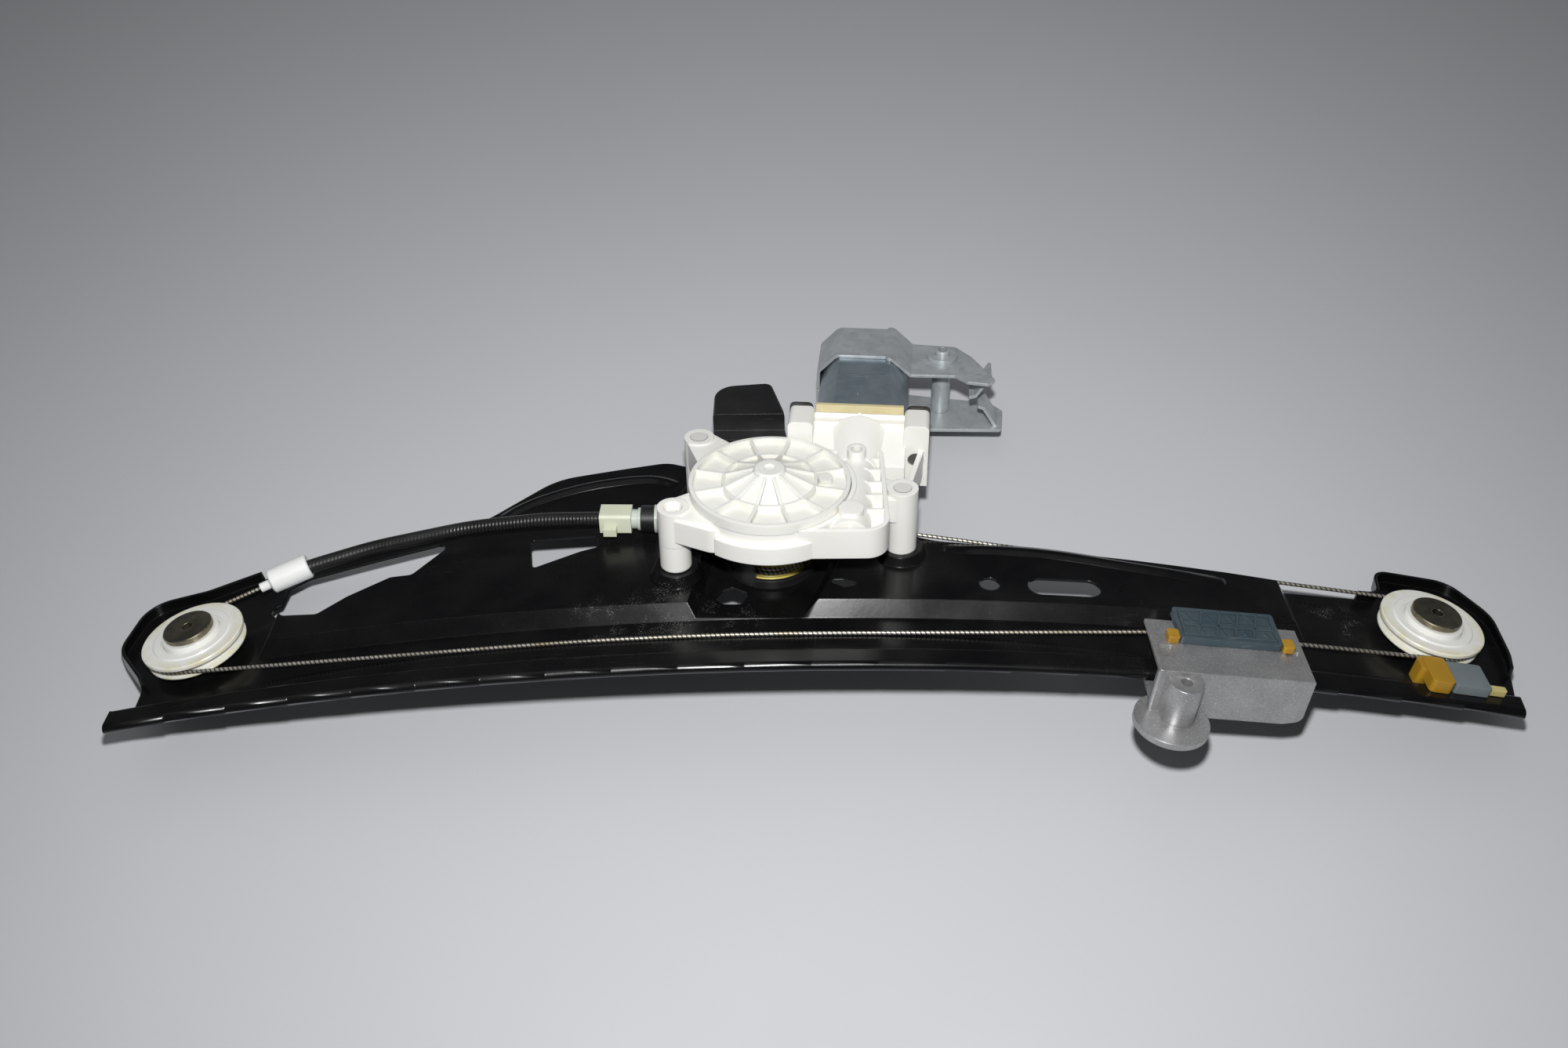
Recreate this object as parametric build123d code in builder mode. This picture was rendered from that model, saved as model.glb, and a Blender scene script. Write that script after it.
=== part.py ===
from build123d import *
from math import acos, atan2, cos, degrees, pi, radians, sin, tan
import os

os.makedirs("parts", exist_ok=True)

# A cable-driven window regulator lying on its back, millimetres throughout.
# "along" runs on the bend of the rail from its crest, "across" runs from the rail's
# lip to the motor side, and "height" stands square to the bent sheet.

# Posture and bend
lean = 22.5             # the sheet leans back until the motor strap touches the ground
rail_radius = 1496.0    # top of the rail tongue
sheet = 1.4
running = 0.05          # radial play of a bearing
gap = 0.3               # play between pieces that slide or swing past each other
seat = 0.02             # joint line between pieces bolted or pushed together

# Levels of the sheet, measured from the top of the rail tongue
web_level = -4.5
pad_level = 2.0
dome_height = 3.5
dome_radius = 12.0
dome_taper = 25.0
lip_level = 0.5

# Rail section
tongue_width = 10.5
hem_depth = 3.3
hem_return = 8.3
web_start = 12.6
step_foot = 36.3
step_run = 5.2
left_end = -309.0
right_end = 304.0

# Locating hole and slot
hole_along = 76.2
hole_across = 53.7
hole_radius = 4.6
slot_along = 109.4
slot_across = 53.3
slot_length = 32.5
slot_width = 12.0

# Pulleys and their axles
left_along = -279.0
right_along = 272.8
pulley_across = 45.6
pulley_radius = 22.2
pulley_rim = 5.0
groove_level = 3.4
cable_radius = 0.85
wrap_radius = 20.8
axle_radius = 7.0
washer_radius = 11.0
washer_thick = 2.7
washer_top = 13.0
thread_radius = 2.5
rivet_radius = 7.5
rivet_thick = 2.0

# Gear unit, level with the crest of the rail
gear_along = -20.4
gear_across = 77.0
disc_radius = 35.7
disc_top = 41.0
disc_seat = 36.0
case_floor = 22.5
wall = 2.2
ledge_top = 31.0
post_radius = 7.0
post_top = 37.0
bush_top = 19.0
screw_radius = 2.5
worm_offset = 36.9
worm_level = 30.5
motor_turn = 5.2        # the motor axis swings this far off square to the rail

# Drum
drum_radius = 16.5
drum_flange = 18.2
drum_floor = -3.7
drum_height = 16.0
drum_turns = 4
drum_cup = 19.2
shaft_radius = 4.0
turn_pitch = 2.2
first_turn = -1.0
upper_exit = 7.8
rear_exit = 10.0

# Worm wheel
wheel_teeth = 63
wheel_radius = 31.0
tooth_depth = 1.8
wheel_thick = 8.0
worm_radius = 5.4

# Motor
can_width = 43.5
can_height = 36.0
can_wall = 1.6
can_end = 124.0
magnet_thick = 5.0
armature_radius = 11.6
motor_shaft = 3.0
strap_thick = 1.5
strap_start = 94.0
strap_end = 122.0
stud_side = 44.0

# Slider
slider_along = 172.0
slider_length = 66.0
roof_level = 6.8
roof_thick = 1.7
face_across = -6.5
face_thick = 3.0
skirt_level = -17.0
slider_rear = 27.5
boss_radius = 7.25
boss_side = -21.5
boss_across = -9.5
lobe_radius = 16.0

# The bent sheet stands on this frame: x along the rail, z square to the crest
hole_angle = hole_along / rail_radius
deck = Plane(
    origin=(0, 0, 0),
    x_dir=(1, 0, 0),
    z_dir=(0, sin(radians(lean)), cos(radians(lean))),
)
datum = deck.from_local_coords((
    (rail_radius + pad_level) * sin(hole_angle),
    hole_across,
    (rail_radius + pad_level) * cos(hole_angle) - rail_radius,
))
deck.origin = -datum


def deck_point(x, y, z):
    return deck.from_local_coords((x, y, z))


# Plane on the bend: x along the rail, y across it, z square to the sheet
def on_rail(along, across, height=0.0):
    angle = along / rail_radius
    radius = rail_radius + height
    return Plane(
        origin=deck_point(radius * sin(angle), across, radius * cos(angle) - rail_radius),
        x_dir=deck.x_dir * cos(angle) - deck.z_dir * sin(angle),
        z_dir=deck.x_dir * sin(angle) + deck.z_dir * cos(angle),
    )


# The rail's section at one place: x across, y height
def rail_section(along):
    spot = on_rail(along, 0)
    return Plane(origin=spot.origin, x_dir=deck.y_dir, z_dir=spot.x_dir)


# Place of a point of the bend as seen square on to the crest
def plan(along, across):
    return (rail_radius * sin(along / rail_radius), across)


def side_view(along, height):
    angle = along / rail_radius
    radius = rail_radius + height
    return (radius * sin(angle), radius * cos(angle) - rail_radius)


bend_axis = Axis(deck_point(0, 0, -rail_radius), deck.y_dir)
front_view = Plane(origin=deck.origin, x_dir=deck.x_dir, z_dir=-deck.y_dir)
reach = 400.0           # longer than any sheet it trims
unit = Plane(origin=deck_point(gear_along, gear_across, 0), x_dir=deck.x_dir, z_dir=deck.z_dir)
unit_axis = Axis(unit.origin, unit.z_dir)


def level(height):
    return unit.offset(height)


# Carrier plate
step_slope = atan2(pad_level - web_level, step_run)
bend_shift = sheet * tan(step_slope / 2)
pad_left = -250.0
pad_right = 215.0
rear_edge = 170.0
lobe_start = -325.0
lobe_end = 320.0

outline_points = [
    (left_end, -3), (left_end, 11.5), (-300, 11.5), (-301, 28), (-321, 54), (-317, 86),
    (-288, 89.5), (-262, 99), (-206, 102), (-158, 114), (-126, 145), (-72, 154),
    (-42, 140), (-30, 112), (32, 99), (45, 85.9), (123, 78.6), (186, 73.2), (212, 70.7),
    (228, 71.2), (259, 73),
    (262, 91), (299, 90), (313, 68), (311, 40), (right_end, 14), (right_end - 2, -3),
]
outline_radii = [
    0.5, 1, 4, 14, 18, 14, 20, 30, 60, 30, 30, 14, 16, 14, 7, 40, 40, 20, 20, 10, 6, 8, 14, 20, 30,
    8, 0.5,
]


with BuildSketch() as outline:
    with BuildLine():
        FilletPolyline(*[plan(*spot) for spot in outline_points], radius=outline_radii, close=True)
    make_face()
with BuildSketch() as inner_outline:
    add(outline.sketch)
    offset(amount=-sheet, mode=Mode.REPLACE)


def rail_band(low, high, start, end):
    with BuildPart() as band:
        with BuildSketch(rail_section(start)):
            with BuildLine():
                Polyline((-10, low), (rear_edge, low), (rear_edge, high), (-10, high), close=True)
            make_face()
        revolve(axis=bend_axis, revolution_arc=degrees((end - start) / rail_radius))
    return band.part


# The raised pad as a solid block: its outer skin, or the hollow under it
def pad_block(skin):
    drop = 0 if skin else sheet
    shift = 0 if skin else bend_shift
    top = pad_level - drop
    foot = web_level - sheet - (0 if skin else 1)
    with BuildPart() as block:
        with BuildSketch(rail_section(pad_left - 5)):
            with BuildLine():
                Polyline(
                    (step_foot + shift, foot), (step_foot + shift, web_level - drop),
                    (step_foot + step_run + shift, top), (rear_edge, top), (rear_edge, foot),
                    close=True,
                )
            make_face()
        revolve(axis=bend_axis, revolution_arc=degrees((pad_right - pad_left + 10) / rail_radius))
        left = [
            side_view(pad_left + shift, foot - 1),
            side_view(pad_left + shift, web_level - drop),
            side_view(pad_left + shift + step_run, top),
            side_view(pad_left + shift + 2 * step_run, top + (pad_level - web_level)),
        ]
        right = [
            side_view(pad_right - shift - 2 * step_run, top + (pad_level - web_level)),
            side_view(pad_right - shift - step_run, top),
            side_view(pad_right - shift, web_level - drop),
            side_view(pad_right - shift, foot - 1),
        ]
        crown = [(left[-1][0], reach / 4), (right[0][0], reach / 4)]
        with BuildSketch(front_view):
            with BuildLine():
                Polyline(*left, *crown, *right, close=True)
            make_face()
        extrude(amount=reach, both=True, mode=Mode.INTERSECT)
        with BuildSketch(level(web_level - drop)):
            Circle(drum_cup + 7 + shift)
            with Locations((-13, -52)):
                Circle(drum_cup + 2 + shift)
            make_hull()
        extrude(amount=reach / 10, taper=-degrees(pi / 2 - step_slope), mode=Mode.SUBTRACT)
    return block.part


# Where the three legs of the gear case stand, measured from the drum axis
front_leg = (-42.0, -14.5)
right_leg = (58.5, -1.5)
rear_leg = (-33.0, 42.5)
legs = [front_leg, right_leg, rear_leg]


window_left = [(-132.5, 95), (-101, 95), (-100.5, 86), (-108, 83.5), (-129, 73)]
window_recess = [(-45.5, 50.5), (-42, 57), (-37.5, 59), (-30, 54.5), (-33, 46.5), (-41.5, 46.5)]
window_mid = [(3, 55.5), (12, 55.5), (20, 52.5), (12, 49.5)]
window_big = [
    (-254, 72), (-243, 58), (-226, 55.5), (-214, 66), (-196, 77), (-186, 77),
    (-168.5, 101), (-236, 84.5),
]
windows = [(window_left, 1.5), (window_recess, 2), (window_mid, 1.4), (window_big, 3.5)]

# Raised lips round the two lobes, made wide and trimmed with the sheet
lip_foot = web_level - sheet / 2
lip_front = 30.0
lobe_lips = []
for near, far in ((lobe_start, pad_left - 14), (pad_right + 34, lobe_end)):
    with BuildPart() as lip:
        add(rail_band(lip_foot, lip_level, near, far))
        with BuildSketch(deck.offset(-reach / 4)):
            add(inner_outline.sketch)
            with Locations((0, lip_front - rear_edge)):
                Rectangle(2 * reach, 2 * rear_edge)
        extrude(amount=reach / 2, mode=Mode.SUBTRACT)
    lobe_lips.append(lip.part)

with BuildPart() as plate_blank:
    with BuildSketch(rail_section(lobe_start)):
        with BuildLine():
            FilletPolyline(
                (hem_return, -sheet / 2 - hem_depth), (sheet / 2, -sheet / 2 - hem_depth),
                (sheet / 2, -sheet / 2), (tongue_width, -sheet / 2),
                (web_start, web_level - sheet / 2), (rear_edge, web_level - sheet / 2),
                radius=[hem_depth / 2 - 0.02, hem_depth / 2 - 0.02, 1.0, 1.0],
            )
        trace(line_width=sheet)
    revolve(axis=bend_axis, revolution_arc=degrees((lobe_end - lobe_start) / rail_radius))
    for lip_part in lobe_lips:
        add(lip_part)
    add(pad_block(True))
    add(pad_block(False), mode=Mode.SUBTRACT)
    with BuildSketch(deck.offset(-reach / 4)):
        add(outline.sketch)
    extrude(amount=reach / 2, mode=Mode.INTERSECT)
    for spot in legs:
        with BuildSketch(level(pad_level - sheet)):
            with Locations(spot):
                Circle(dome_radius)
        extrude(amount=dome_height + sheet, taper=dome_taper)

with BuildPart() as carrier_plate:
    add(plate_blank.part)
    for spot in legs:
        with BuildSketch(level(pad_level - 2 * sheet)):
            with Locations(spot):
                Circle(dome_radius - sheet)
        extrude(amount=dome_height + sheet, taper=dome_taper, mode=Mode.SUBTRACT)
        with BuildSketch(level(0)):
            with Locations(spot):
                Circle(screw_radius + gap)
        extrude(amount=dome_height + pad_level + 2, mode=Mode.SUBTRACT)
    for points, radius in windows:
        with BuildSketch(deck.offset(-reach / 4)):
            with BuildLine():
                FilletPolyline(*[plan(*spot) for spot in points], radius=radius, close=True)
            make_face()
        extrude(amount=reach / 2, mode=Mode.SUBTRACT)
    with BuildSketch(on_rail(hole_along, hole_across, web_level)):
        Circle(hole_radius)
    extrude(amount=4 * -web_level, both=True, mode=Mode.SUBTRACT)
    with BuildSketch(on_rail(slot_along, slot_across, web_level)):
        SlotOverall(slot_length, slot_width)
    extrude(amount=4 * -web_level, both=True, mode=Mode.SUBTRACT)
    for along in (left_along, right_along):
        with BuildSketch(on_rail(along, pulley_across, web_level - 2 * sheet)):
            Circle(axle_radius - 1.5)
        extrude(amount=4 * sheet, mode=Mode.SUBTRACT)
carrier_plate.part.label = "carrier_plate"
export_step(carrier_plate.part, "parts/carrier_plate.step")

# Axles riveted through the sheet, with the washer that holds the pulley
for name, along in (("left_axle", left_along), ("right_axle", right_along)):
    seat_plane = on_rail(along, pulley_across, web_level)
    with BuildPart() as axle:
        with BuildSketch(seat_plane):
            Circle(axle_radius)
        extrude(amount=washer_top - web_level)
        with BuildSketch(seat_plane.offset(washer_top - web_level - washer_thick)):
            Circle(washer_radius)
        extrude(amount=washer_thick)
        chamfer(axle.edges().filter_by(GeomType.CIRCLE).sort_by(SortBy.RADIUS)[-2:], 0.35)
        with BuildSketch(seat_plane):
            Circle(axle_radius - 1.5 - seat)
        extrude(amount=-sheet - seat)
        with BuildSketch(seat_plane.offset(-sheet - seat)):
            Circle(rivet_radius)
        extrude(amount=-rivet_thick)
        with BuildSketch(seat_plane.offset(washer_top - web_level)):
            Circle(thread_radius)
        extrude(amount=-washer_top, mode=Mode.SUBTRACT)
    axle.part.label = name
    export_step(axle.part, f"parts/{name}.step")

# Pulleys: a stepped hub over a grooved rim
hub_low = web_level + gap
hub_top = washer_top - washer_thick - 2 * running
rim_low = groove_level - pulley_rim / 2
rim_high = groove_level + pulley_rim / 2
groove_root = wrap_radius - cable_radius - 2 * running
for name, along in (("left_pulley", left_along), ("right_pulley", right_along)):
    spot = on_rail(along, pulley_across)
    section_plane = Plane(origin=spot.origin, x_dir=spot.x_dir, z_dir=-spot.y_dir)
    with BuildPart() as pulley:
        with BuildSketch(section_plane):
            with BuildLine():
                Polyline(
                    (axle_radius + running, hub_low), (axle_radius + 3, hub_low),
                    (axle_radius + 4, rim_low), (pulley_radius, rim_low),
                    (pulley_radius, rim_low + 0.8), (groove_root, groove_level - 0.95),
                    (groove_root, groove_level + 0.95), (pulley_radius, rim_high - 0.8),
                    (pulley_radius - 0.4, rim_high), (16.4, rim_high), (15.6, 7.5),
                    (13.2, 7.5), (12.6, hub_top), (axle_radius + running, hub_top), close=True,
                )
            make_face()
        revolve(axis=Axis(spot.origin, spot.z_dir))
    pulley.part.label = name
    export_step(pulley.part, f"parts/{name}.step")

# Cables. The front one goes round both pulleys and rests on the web between them
upper_angle = 21.2
rear_angle = 5.3
cable_play = 0.05
seam = 0.15             # between lengths of cable that meet at a small angle
web_touch = web_level + cable_radius + cable_play
drop_angle = acos((rail_radius + web_touch) / (rail_radius + groove_level))
touch_left = left_along + drop_angle * rail_radius
touch_right = 11.0
lift_off = touch_right + drop_angle * rail_radius
run_plane = front_view.offset(wrap_radius - pulley_across)

with BuildPart() as front_span:
    with BuildLine(run_plane) as front_run:
        Line(side_view(left_along + seam, groove_level), side_view(touch_left, web_touch))
        ThreePointArc(
            side_view(touch_left, web_touch),
            side_view((touch_left + touch_right) / 2, web_touch),
            side_view(touch_right, web_touch),
        )
        Line(side_view(touch_right, web_touch), side_view(lift_off, groove_level))
    with BuildSketch(Plane(origin=front_run.line @ 0, z_dir=front_run.line % 0)):
        Circle(cable_radius)
    sweep(path=front_run.line)
with BuildPart() as front_tail:
    with BuildLine(run_plane) as tail_run:
        Line(
            side_view(lift_off + seam, groove_level - seam),
            side_view(right_along - seam, groove_level),
        )
    with BuildSketch(Plane(origin=tail_run.line @ 0, z_dir=tail_run.line % 0)):
        Circle(cable_radius)
    sweep(path=tail_run.line)
wraps = []
for along, first, swing in (
    (left_along, 270, upper_angle - 180), (right_along, 270, 178 - rear_angle),
):
    with BuildPart() as wrap:
        with BuildLine(on_rail(along, pulley_across, groove_level)) as wrap_run:
            CenterArc((0, 0), wrap_radius, first, swing)
        with BuildSketch(Plane(origin=wrap_run.line @ 0, z_dir=wrap_run.line % 0)):
            Circle(cable_radius)
        sweep(path=wrap_run.line)
    wraps.append(wrap.part)
with BuildPart() as front_cable:
    add(front_span.part)
    add(front_tail.part)
    for wrap_part in wraps:
        add(wrap_part)
front_cable.part.label = "front_cable"
export_step(front_cable.part, "parts/front_cable.step")


# A point of a pulley's groove, and a point beside the drum
def groove_point(along, angle):
    turn = radians(angle)
    spot = on_rail(along, pulley_across, groove_level)
    return spot.from_local_coords((wrap_radius * cos(turn), wrap_radius * sin(turn), 0))


drum_rear = gear_across + drum_radius

with BuildPart() as rear_cable:
    with BuildLine() as rear_run:
        Line(
            groove_point(right_along, 90 - rear_angle - degrees(seam / wrap_radius)),
            deck_point(gear_along + 1.5, drum_rear + cable_play, rear_exit),
        )
    with BuildSketch(Plane(origin=rear_run.line @ 0, z_dir=rear_run.line % 0)):
        Circle(cable_radius)
    sweep(path=rear_run.line)
rear_cable.part.label = "rear_cable"
export_step(rear_cable.part, "parts/rear_cable.step")

# The upper cable runs through the cap, the conduit and the adjuster to the drum
pulley_leave = groove_point(left_along, 90 + upper_angle)
cap_end = on_rail(-234.5, 85.2, 7.9).origin
cap_length = 18.5
cap_radius = 4.5
conduit_radius = 3.3
conduit_bore = 1.3
conduit_points = [
    on_rail(-205, 93.4, 8.4).origin, on_rail(-160, 98.4, 10.2).origin,
    on_rail(-124, 97.6, 11.4).origin,
]
fitting_start = deck_point(-99, 95.6, upper_exit)
cable_end = deck_point(gear_along - 1.5, drum_rear + cable_play, upper_exit)
leave_dir = (cap_end - pulley_leave).normalized()
exit_dir = (cable_end - fitting_start).normalized()
conduit_start = cap_end - leave_dir * 8
conduit_end = fitting_start + exit_dir * 4
bend_radii = [120, 160, 160, 60]

with BuildPart() as upper_cable:
    with BuildLine() as upper_run:
        FilletPolyline(
            pulley_leave + leave_dir * seam, cap_end, *conduit_points, fitting_start, cable_end,
            radius=[90, *bend_radii],
        )
    with BuildSketch(Plane(origin=upper_run.line @ 0, z_dir=upper_run.line % 0)):
        Circle(cable_radius)
    sweep(path=upper_run.line)
upper_cable.part.label = "upper_cable"
export_step(upper_cable.part, "parts/upper_cable.step")

with BuildPart() as conduit:
    with BuildLine() as conduit_run:
        FilletPolyline(
            conduit_start, cap_end, *conduit_points, fitting_start, conduit_end,
            radius=[90, *bend_radii],
        )
    with BuildSketch(Plane(origin=conduit_run.line @ 0, z_dir=conduit_run.line % 0)):
        Circle(conduit_radius)
        Circle(conduit_bore, mode=Mode.SUBTRACT)
    sweep(path=conduit_run.line)
conduit.part.label = "conduit"
export_step(conduit.part, "parts/conduit.step")

# Cap on the lower end of the conduit, with a nose for the bare cable
cap_plane = Plane(origin=cap_end, z_dir=leave_dir)
with BuildPart() as conduit_cap:
    with BuildSketch(cap_plane.offset(-cap_length)):
        Circle(cap_radius)
    extrude(amount=cap_length)
    chamfer(conduit_cap.edges().group_by(Axis(cap_end, leave_dir))[0], 0.8)
    with BuildSketch(cap_plane.offset(-cap_length - 5)):
        Circle(2.2)
    extrude(amount=6)
    with BuildSketch(cap_plane.offset(-cap_length - 6)):
        Circle(conduit_bore)
    extrude(amount=cap_length + 7, mode=Mode.SUBTRACT)
    with BuildSketch(cap_plane.offset(-8)):
        Circle(conduit_radius)
    extrude(amount=9, mode=Mode.SUBTRACT)
    with BuildSketch(cap_plane.offset(-5.9)):
        Circle(conduit_radius + 0.45)
    extrude(amount=7, mode=Mode.SUBTRACT)
conduit_cap.part.label = "conduit_cap"
export_step(conduit_cap.part, "parts/conduit_cap.step")

# Adjuster at the drum: housing, spring and sleeve on one line
fitting = Plane(origin=fitting_start, x_dir=deck.y_dir, z_dir=exit_dir)
fitting_length = 14.5
fitting_width = 11.0
spring_radius = 2.9
spring_wire = 0.5
sleeve_radius = 4.5
sleeve_length = 13.0
with BuildPart() as adjuster_housing:
    with BuildSketch(fitting):
        RectangleRounded(fitting_width, fitting_width - 1, 1.5)
    extrude(amount=fitting_length)
    with BuildSketch(fitting.offset(2)):
        with Locations((-fitting_width / 2 - 1.5, -2)):
            Rectangle(3.5, 4)
    extrude(amount=6)
    with BuildSketch(fitting.offset(-1)):
        Circle(conduit_radius + 0.15)
    extrude(amount=5, mode=Mode.SUBTRACT)
    with BuildSketch(fitting):
        Circle(spring_radius - spring_wire - gap)
    extrude(amount=fitting_length, mode=Mode.SUBTRACT)
    with BuildSketch(fitting.offset(5.5)):
        Circle(spring_radius + spring_wire + gap)
    extrude(amount=fitting_length, mode=Mode.SUBTRACT)
adjuster_housing.part.label = "adjuster_housing"
export_step(adjuster_housing.part, "parts/adjuster_housing.step")

with BuildPart() as coil_blank:
    with BuildLine() as coil:
        Helix(pitch=2.2, height=6.8, radius=spring_radius)
    with BuildSketch(Plane(origin=coil.line @ 0, z_dir=coil.line % 0)):
        Circle(spring_wire)
    sweep(path=coil.line, is_frenet=True)
with BuildPart() as tension_spring:
    with Locations(fitting.offset(6.2).location):
        add(coil_blank.part)
tension_spring.part.label = "tension_spring"
export_step(tension_spring.part, "parts/tension_spring.step")

with BuildPart() as adjuster_sleeve:
    with BuildSketch(fitting.offset(fitting_length + seat)):
        Circle(sleeve_radius)
        Circle(conduit_bore, mode=Mode.SUBTRACT)
    extrude(amount=sleeve_length)
    with BuildSketch(fitting.offset(fitting_length + 3)):
        Circle(sleeve_radius + 0.8)
        Circle(sleeve_radius - 1, mode=Mode.SUBTRACT)
    extrude(amount=1.3)
adjuster_sleeve.part.label = "adjuster_sleeve"
export_step(adjuster_sleeve.part, "parts/adjuster_sleeve.step")

# Cable drum with ring grooves, splined to the hollow drive shaft
drum_top = drum_floor + drum_height
ridge_radius = drum_radius + 0.4
groove_floor = drum_radius - cable_radius - cable_play
groove_count = round((rear_exit - first_turn) / turn_pitch) + 1
with BuildPart() as cable_drum:
    with BuildSketch(level(drum_floor)):
        Circle(drum_flange)
    extrude(amount=1.4)
    with BuildSketch(level(drum_floor)):
        Circle(ridge_radius)
    extrude(amount=drum_height - 1.4)
    with BuildSketch(level(drum_top - 1.4)):
        Circle(drum_flange)
    extrude(amount=1.4)
    with BuildSketch(level(drum_top)):
        Circle(9)
    extrude(amount=6)
    for turn in range(groove_count):
        with BuildSketch(level(first_turn + turn * turn_pitch - 1)):
            Circle(drum_flange + 1)
            Circle(groove_floor, mode=Mode.SUBTRACT)
        extrude(amount=2, mode=Mode.SUBTRACT)
    with BuildSketch(level(rear_exit - 1.7)):
        Circle(drum_flange + 1)
        Circle(groove_floor, mode=Mode.SUBTRACT)
    extrude(amount=2, mode=Mode.SUBTRACT)
    with BuildSketch(level(drum_floor)):
        Circle(shaft_radius + 1 + seat)
    extrude(amount=drum_height + 6, mode=Mode.SUBTRACT)
    with BuildSketch(level(drum_floor)):
        with PolarLocations(11, 6):
            Circle(3)
    extrude(amount=drum_height - 4, mode=Mode.SUBTRACT)
cable_drum.part.label = "cable_drum"
export_step(cable_drum.part, "parts/cable_drum.step")

with BuildPart() as drum_windings:
    for turn in range(drum_turns):
        with BuildSketch(Plane(unit.origin, x_dir=unit.x_dir, z_dir=-unit.y_dir)):
            with Locations((drum_radius, first_turn + turn * turn_pitch)):
                Circle(cable_radius)
        revolve(axis=unit_axis)
drum_windings.part.label = "drum_windings"
export_step(drum_windings.part, "parts/drum_windings.step")

# Black drum housing under the gear case, with the socket of the adjuster
housing_top = case_floor - seat
drum_window_low = 0.5
drum_window_high = 16.0


def sector(first, last, radius):
    middle = (first + last) / 2
    half = radians(last - first) / 2
    long = radius / cos(half)
    return [
        (0, 0),
        (long * cos(radians(first)), long * sin(radians(first))),
        (1.5 * radius * cos(radians(middle)), 1.5 * radius * sin(radians(middle))),
        (long * cos(radians(last)), long * sin(radians(last))),
    ]


with BuildPart() as drum_housing:
    with BuildSketch(level(drum_floor)):
        Circle(drum_cup + 1.8)
    extrude(amount=housing_top - drum_floor)
    with BuildSketch(level(housing_top)):
        Circle(disc_radius - 2)
    extrude(amount=-2)
    with BuildSketch(fitting.offset(fitting_length + 4.5)):
        Circle(sleeve_radius + 1.8)
    extrude(amount=48)
    with BuildSketch(level(drum_floor)):
        Circle(drum_cup)
    extrude(amount=housing_top - 2 - drum_floor, mode=Mode.SUBTRACT)
    with BuildSketch(level(drum_floor)):
        Circle(10)
    extrude(amount=housing_top - drum_floor, mode=Mode.SUBTRACT)
    for first, last in ((-180, -140), (-109.5, -32)):
        with BuildSketch(level(drum_window_low)):
            with BuildLine():
                Polyline(*sector(first, last, drum_cup + 3), close=True)
            make_face()
        extrude(amount=drum_window_high - drum_window_low, mode=Mode.SUBTRACT)
    with BuildSketch(level(rear_exit - 4.5)):
        with Locations((20, drum_radius)):
            Rectangle(40, 5)
    extrude(amount=7, mode=Mode.SUBTRACT)
    with BuildSketch(fitting):
        Circle(cable_radius + 1)
    extrude(amount=90, mode=Mode.SUBTRACT)
    with BuildSketch(fitting):
        Circle(sleeve_radius + seat)
    extrude(amount=fitting_length + sleeve_length + 2 * seat, mode=Mode.SUBTRACT)
    with BuildSketch(level(drum_floor - 10)):
        with Locations((-50, 0)):
            Rectangle(100 - 2 * drum_cup - 4, 60)
    extrude(amount=10 - drum_floor + 2.5, mode=Mode.SUBTRACT)
drum_housing.part.label = "drum_housing"
export_step(drum_housing.part, "parts/drum_housing.step")

# Worm and motor line: x to the left, y up, z away from the worm wheel
turn_dir = radians(motor_turn)
motor = Plane(
    origin=deck_point(gear_along + worm_offset / cos(turn_dir), gear_across, worm_level),
    x_dir=deck.y_dir * sin(turn_dir) - deck.x_dir * cos(turn_dir),
    z_dir=deck.x_dir * sin(turn_dir) + deck.y_dir * cos(turn_dir),
)
motor_axis = Axis(motor.origin, motor.z_dir)
worm_front = -26.0
worm_bore = 6.9
tunnel_radius = 9.2
bell_start = 26.0
flange_start = 34.0
flange_end = 48.0
lug_side = 26.5
lug_width = 11.5
flange_half = lug_side + lug_width / 2
plate_top = 41.4 - worm_level

# Outline of the square part of the gear case, round the worm
block_points = [(8, -34), (51.4, -34), (51.4, 30), (8, 30)]
block_radii = [2, 10, 4, 2]


def along_motor(distance):
    return motor.offset(distance)


with BuildSketch() as block_outline:
    with BuildLine():
        FilletPolyline(*block_points, radius=block_radii, close=True)
    make_face()
with BuildSketch() as block_inside:
    add(block_outline.sketch)
    offset(amount=-2.0, mode=Mode.REPLACE)

# Tray and cells sunk in the top of the block beside the worm tunnel
tray_floor = disc_seat - 5.5
with BuildPart() as tray:
    with BuildSketch(level(tray_floor)):
        add(block_inside.sketch)
        Circle(disc_radius + 2.5, mode=Mode.SUBTRACT)
        for across in (-18, -7, 3, 13, 22):
            with Locations((48, across)):
                Rectangle(12, 1.4, mode=Mode.SUBTRACT)
    extrude(amount=12)
    with BuildSketch(along_motor(worm_front - 4)):
        Circle(tunnel_radius - 0.5)
    extrude(amount=70, mode=Mode.SUBTRACT)
    with BuildSketch(along_motor(worm_front - 30)):
        with Locations((0, -6)):
            Rectangle(1.4, 24)
    extrude(amount=30, mode=Mode.SUBTRACT)

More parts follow.
